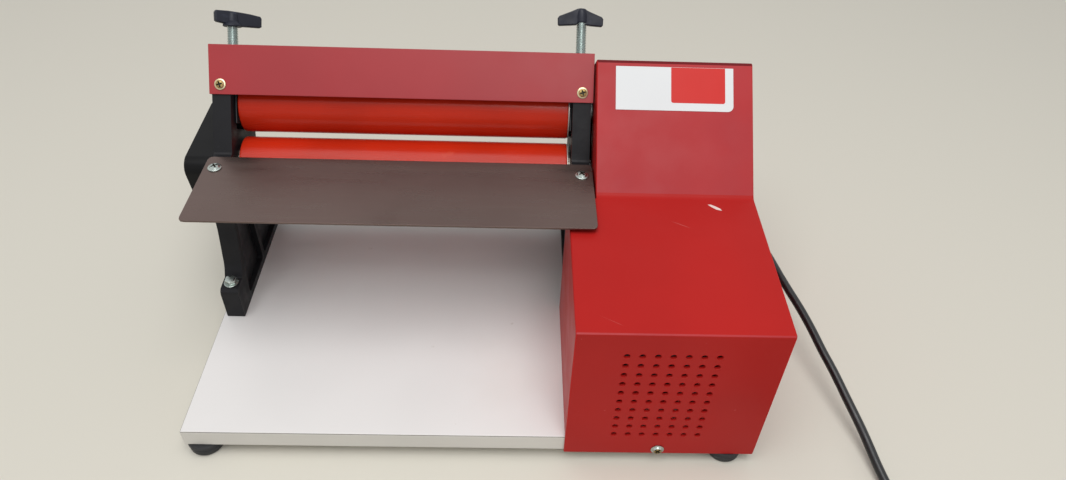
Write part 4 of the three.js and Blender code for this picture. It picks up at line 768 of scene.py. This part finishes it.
def makeKnob(side, knob):
    outline, half = knob["outline"], knobForm["half"]
    around = outline + [(-x, z) for x, z in reversed(outline) if x > 0]
    made = slab([(x, -half, z) for x, z in around], (0, 2 * half, 0))
    for vert in made.verts:
        vert.co.y *= 1 - knobForm["taper"] * abs(vert.co.x) / knobForm["long"]
        vert.co.z -= knob["lean"] * vert.co.x
        vert.co.x += knob["shift"]
    bmesh.ops.recalc_face_normals(made, faces=made.faces)
    rim = [edge for edge in made.edges if edge.calc_face_angle() > math.radians(knobForm["rimFrom"])]
    roundEdges(made, rim, knobForm["soft"], knobForm["softSteps"])
    high, base, top = knob["high"], knob["hub"], knobForm["hubTop"]
    neckOut, neckUp = knobForm["neck"]
    addTo(made, spun([
        (0, 0), *((base + out, up) for out, up in knobForm["hubFoot"]),
        (base * knobForm["waistShare"], knobForm["waist"]), (top + neckOut, neckUp),
        *((top + out, high + up) for out, up in knobForm["hubHead"]), (0, high)], knobForm["hubSteps"]))
    place = onHead @ Matrix.Translation((postMiddle[side], screw["across"], knob["base"]))
    place = place @ Matrix.Rotation(math.radians(knob["turn"]), 4, "Z")
    evenShading(addPiece(
        f"wing_knob_{side}_finished", made, place, "knobPlastic", f"{side}_screw", [f"wing_knob_{side}"]))


for side, knob in knobs.items():
    makeKnob(side, knob)
print("knobs made")

# Pan-head screws with a cross recess: share makes a head smaller, and looks are its rim, top and recess
panHead = {
    "radius": 5.9, "height": 2.9, "rim": 0.8, "slot": 1.5, "slotLong": 6.2, "deep": 1.7, "shank": 2.2,
    "steps": 40, "seat": 0.1, "seatEdge": (0.2, 0.3), "rimEdge": (0.4, 0.25),
    "step": [(0.78, 0.35), (0.72, 0.8)], "domeShares": [(0.62, 0.86), (0.4, 0.97)],
    "over": 1, "cutterSoft": 0.1}
# What of a carved head counts as its recess, and from which share of its height on the rest is dome
recess = {"near": 0.02, "skin": 0.1, "floor": 0.2, "wallUnder": 0.5, "topShare": 0.85}
shownScrews = {
    "tray": {
        "y": 175.2, "z": 143, "shank": 8, "share": 1, "turn": 0.6,
        "looks": ("zinc", "zinc", "recessPaintedShade")},
    "guard": {
        "y": -1.9, "z": 59.5, "shank": 8, "share": 0.84, "turn": 0.3,
        "looks": ("yellowZinc", "yellowPaintedShade", "recessPaintedShade")},
    "housing": {
        "x": 401.4, "y": -2.3, "z": -12, "shank": 1.2, "share": 0.95, "turn": 0.9,
        "looks": ("zinc", "yellowPaintedShade", "recessPaintedShade")}}


def carved(piece, cutters):
    for cutter in cutters:
        cut = piece.modifiers.new("cut", "BOOLEAN")
        cut.object = cutter
        cut.solver = "EXACT"
    bpy.context.view_layer.update()
    shape = piece.evaluated_get(bpy.context.evaluated_depsgraph_get())
    data = bpy.data.meshes.new_from_object(shape)
    piece.modifiers.clear()
    made = bmesh.new()
    made.from_mesh(data)
    bpy.data.meshes.remove(data)
    for helper in (piece, *cutters):
        bpy.data.objects.remove(helper)
    return made


def crossCutters(long, half):
    low, high = panHead["height"] - panHead["deep"], panHead["height"] + panHead["over"]
    for wide, deep in ((half, long), (long, half)):
        cutter = block(-wide, wide, -deep, deep, low, high, panHead["cutterSoft"], 1)
        yield looseObject("slotCutter", cutter)


# The recess's walls and floor get the third of a screw's looks, painted dark as shade, the dome round it the
# second
def markRecess(made, long, half):
    height = panHead["height"]
    bottom, top = height - panHead["deep"] + recess["floor"], height - recess["skin"]
    for face in made.faces:
        spot = face.calc_center_median()
        far, near = sorted((abs(spot.x), abs(spot.y)), reverse=True)
        inCross = far < long + recess["near"] and near < half + recess["near"]
        if inCross and panHead["rim"] < spot.z < top:
            if face.normal.z < recess["wallUnder"] or spot.z < bottom:
                face.material_index = 2
        # The crown of the dome gets the second look, a darker painted shade on the guard's and housing's
        # screws
        elif spot.z > height * recess["topShare"]:
            face.material_index = 1


def screwHead(shankLength, share):
    radius, height, rim = panHead["radius"] * share, panHead["height"], panHead["rim"]
    shank, seat = panHead["shank"], panHead["seat"]
    seatIn, seatUp = panHead["seatEdge"]
    rimIn, rimUp = panHead["rimEdge"]
    profile = [
        (0, -shankLength), (shank, -shankLength), (shank, seat), (radius - seatIn, seat), (radius, seatUp),
        (radius, rim), (radius - rimIn, rim + rimUp),
        *((radius * out, rim + up) for out, up in panHead["step"]),
        *((radius * out, height * up) for out, up in panHead["domeShares"]), (0, height)]
    solid = looseObject("screwBlank", spun(profile, panHead["steps"]))
    half, long = panHead["slot"] / 2, panHead["slotLong"] * share / 2
    made = carved(solid, list(crossCutters(long, half)))
    markRecess(made, long, half)
    return made


def addScrew(name, node, form, place):
    made = screwHead(form["shank"], form["share"])
    turned = place @ Matrix.Rotation(form["turn"], 4, "Z")
    piece = addPiece(name, made, turned, form["looks"][0], "stand", [node])
    for finish in form["looks"][1:]:
        piece.data.materials.append(paints[finish])


def makeScrews():
    tray, guard, housed = (shownScrews[key] for key in ("tray", "guard", "housing"))
    for side, x in postMiddle.items():
        place = onBoard @ Matrix.Translation((x, tray["y"], tray["z"]))
        addScrew(f"tray_screw_head_{side}", f"tray_screw_{side}", tray, place)
        place = onHead @ Matrix.Translation((x, guard["y"], guard["z"])) @ towardsFront
        addScrew(f"guard_screw_head_{side}", f"guard_screw_{side}", guard, place)
    place = onBoard @ Matrix.Translation((housed["x"], housed["y"], housed["z"])) @ towardsFront
    addScrew("housing_screw_head", "housing_screw", housed, place)


# Bolts with a washer at the legs' feet: the washer's points are out from its radius, and up from the lug
legBolt = {
    "y": 140.5, "start": 0.1, "lug": 35.1, "shank": 4, "washer": 6.5, "washerThick": 1, "steps": 40,
    "washerEdge": [(-0.2, 0), (0, 0.25), (0, 0.8), (-0.3, 1)],
    "flats": 5.4, "high": 4.5, "sunk": 0.1, "soft": 0.5, "softSteps": 2}


def makeLegBolts():
    start, lug, shank, washer = (legBolt[key] for key in ("start", "lug", "shank", "washer"))
    top = lug + legBolt["washerThick"]
    for side, x in postMiddle.items():
        made = spun([
            (0, start), (shank, start), (shank, lug),
            *((washer + out, lug + up) for out, up in legBolt["washerEdge"]), (0, top)], legBolt["steps"])
        hexagon = bmesh.new()
        middle = Matrix.Translation((0, 0, top + legBolt["high"] / 2 - legBolt["sunk"]))
        bmesh.ops.create_cone(
            hexagon, cap_ends=True, segments=6, radius1=legBolt["flats"], radius2=legBolt["flats"],
            depth=legBolt["high"], matrix=middle)
        roundEdges(hexagon, hexagon.edges[:], legBolt["soft"], legBolt["softSteps"])
        addTo(made, hexagon)
        place = onBoard @ Matrix.Translation((x, legBolt["y"], 0))
        addPiece(f"leg_bolt_head_{side}", made, place, "zinc", "stand", [f"leg_bolt_{side}"])


makeScrews()
makeLegBolts()
print("fasteners made")

# Plain plate on the housing's slope, white with a red field: rounds go round from the lower left corner
plate = {"left": 363, "right": 467.3, "low": 77, "high": 116.2, "thick": 0.5, "rounds": [0.4, 5, 0.4, 0.4]}
plateField = {
    "left": 412, "right": 460, "low": 84, "high": 116, "sunk": 0.2, "proud": 0.08, "rounds": [2, 2, 0.4, 0.4]}
plateCorner = {"near": 0.001, "steps": 6}


def roundedPlate(area, bottom, top):
    left, right, low, high = (area[key] for key in ("left", "right", "low", "high"))
    corners = [(left, low), (right, low), (right, high), (left, high)]
    made = slab([(x, y, bottom) for x, y in corners], (0, 0, top - bottom))
    for (x, y), size in zip(corners, area["rounds"]):
        upright = [edge for edge in made.edges if all(
            abs(vert.co.x - x) + abs(vert.co.y - y) < plateCorner["near"] for vert in edge.verts)]
        roundEdges(made, upright, size, plateCorner["steps"])
    bmesh.ops.recalc_face_normals(made, faces=made.faces)
    return made


def makePlate():
    rise = Vector((0, slope["y1"] - slope["y0"], slope["z1"] - slope["z0"]))
    up = rise.normalized()
    out = Vector((0, -up.z, up.y))
    onSlope = Matrix((Vector((1, 0, 0)), up, out)).transposed().to_4x4()
    onSlope = onBoard @ Matrix.Translation((0, slope["y0"], slope["z0"])) @ onSlope
    white = roundedPlate(plate, 0, plate["thick"])
    addPiece("blank_plate", white, onSlope, "labelWhite", "stand")
    red = roundedPlate(plateField, plate["thick"] - plateField["sunk"], plate["thick"] + plateField["proud"])
    addPiece("blank_plate_field", red, onSlope, "labelRed", "stand")


# A chip in the paint beside the bend of the slope
chip = {
    "low": 137.72, "thick": 0.2, "outline": [
        (442.8, 144.8), (445.6, 141.4), (449.5, 138.2), (453.8, 136.9), (452.8, 139.4), (449.4, 142.4),
        (445.4, 144.8)]}


def makeChip():
    made = slab([(x, y, chip["low"]) for x, y in chip["outline"]], (0, 0, chip["thick"]))
    bmesh.ops.recalc_face_normals(made, faces=made.faces)
    addPiece("paint_chip", made, onBoard, "chipPale", "stand")


makePlate()
makeChip()
print("plate made")

# CAD solids that stay as they are get the finish of their material
keptNodes = {
    "bronze": ["lower_bush_left", "lower_bush_right"],
    "turnedSteel": [
        "tie_bar", "lower_shaft", "upper_shaft", "shaft_collar", "roller_gear_lower", "roller_gear_upper",
        "bull_gear", "countershaft", "countershaft_pinion", "countershaft_pulley", "motor_shaft",
        "motor_pulley"],
    "motorGrey": ["motor_body", "motor_bell_left", "motor_bell_right"],
    "blackPlastic": ["start_capacitor"],
    "rubber": ["drive_belt"]}
for finish, names in keptNodes.items():
    for name in names:
        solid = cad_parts[name].data
        solid.materials.clear()
        solid.materials.append(paints[finish])
print("kept solids painted")

# Studio, in metres: pale floor, a pale surround and soft lamps, each a spot, a target, two sizes and a power
studio = {
    "floorSize": 7, "floor": "d8d4c8", "floorRough": 0.6, "surround": 0.92, "ambient": 0.4,
    "lamps": [
        ((-0.1, -0.5, 2.25), (0.05, 0, 0.1), 1.7, 1.7, 32),
        ((0.42, -1.25, 1.65), (0.1, 0, 0.18), 0.7, 1.2, 6)]}


def makeFloor():
    made = bmesh.new()
    bmesh.ops.create_grid(made, x_segments=1, y_segments=1, size=studio["floorSize"] / 2)
    floor = looseObject("floor", made)
    look = bpy.data.materials.new("paleFloor")
    look.use_nodes = True
    shader = look.node_tree.nodes["Principled BSDF"]
    shader.inputs["Base Color"].default_value = tone(studio["floor"])
    shader.inputs["Roughness"].default_value = studio["floorRough"]
    floor.data.materials.append(look)
    floor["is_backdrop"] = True


def makeLamps():
    for number, (spot, target, wide, high, power) in enumerate(studio["lamps"]):
        data = bpy.data.lights.new(f"softLamp{number}", "AREA")
        data.shape = "RECTANGLE"
        data.size = wide
        data.size_y = high
        data.energy = power
        lamp = bpy.data.objects.new(f"softLamp{number}", data)
        lamp.location = spot
        lamp.rotation_euler = (Vector(target) - Vector(spot)).to_track_quat("-Z", "Y").to_euler()
        bpy.context.scene.collection.objects.link(lamp)


def makeSurround():
    world = bpy.data.worlds.new("paleSurround")
    world.use_nodes = True
    tree = world.node_tree
    bpy.context.scene.world = world
    path = addNode(tree, "ShaderNodeLightPath", {})
    seen = path.outputs["Is Camera Ray"]
    for kind in ("Is Glossy Ray", "Is Transmission Ray"):
        either = addNode(tree, "ShaderNodeMath", {0: seen, 1: path.outputs[kind]}, operation="MAXIMUM")
        seen = either.outputs[0]
    strength = ranged(tree, seen, 0, 1, studio["ambient"], studio["surround"])
    tree.links.new(strength, tree.nodes["Background"].inputs["Strength"])
    tree.nodes["Background"].inputs["Color"].default_value = (1, 1, 1, 1)


makeFloor()
makeLamps()
makeSurround()
bpy.context.scene.view_settings.view_transform = "Standard"
print("studio made")

low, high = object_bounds()
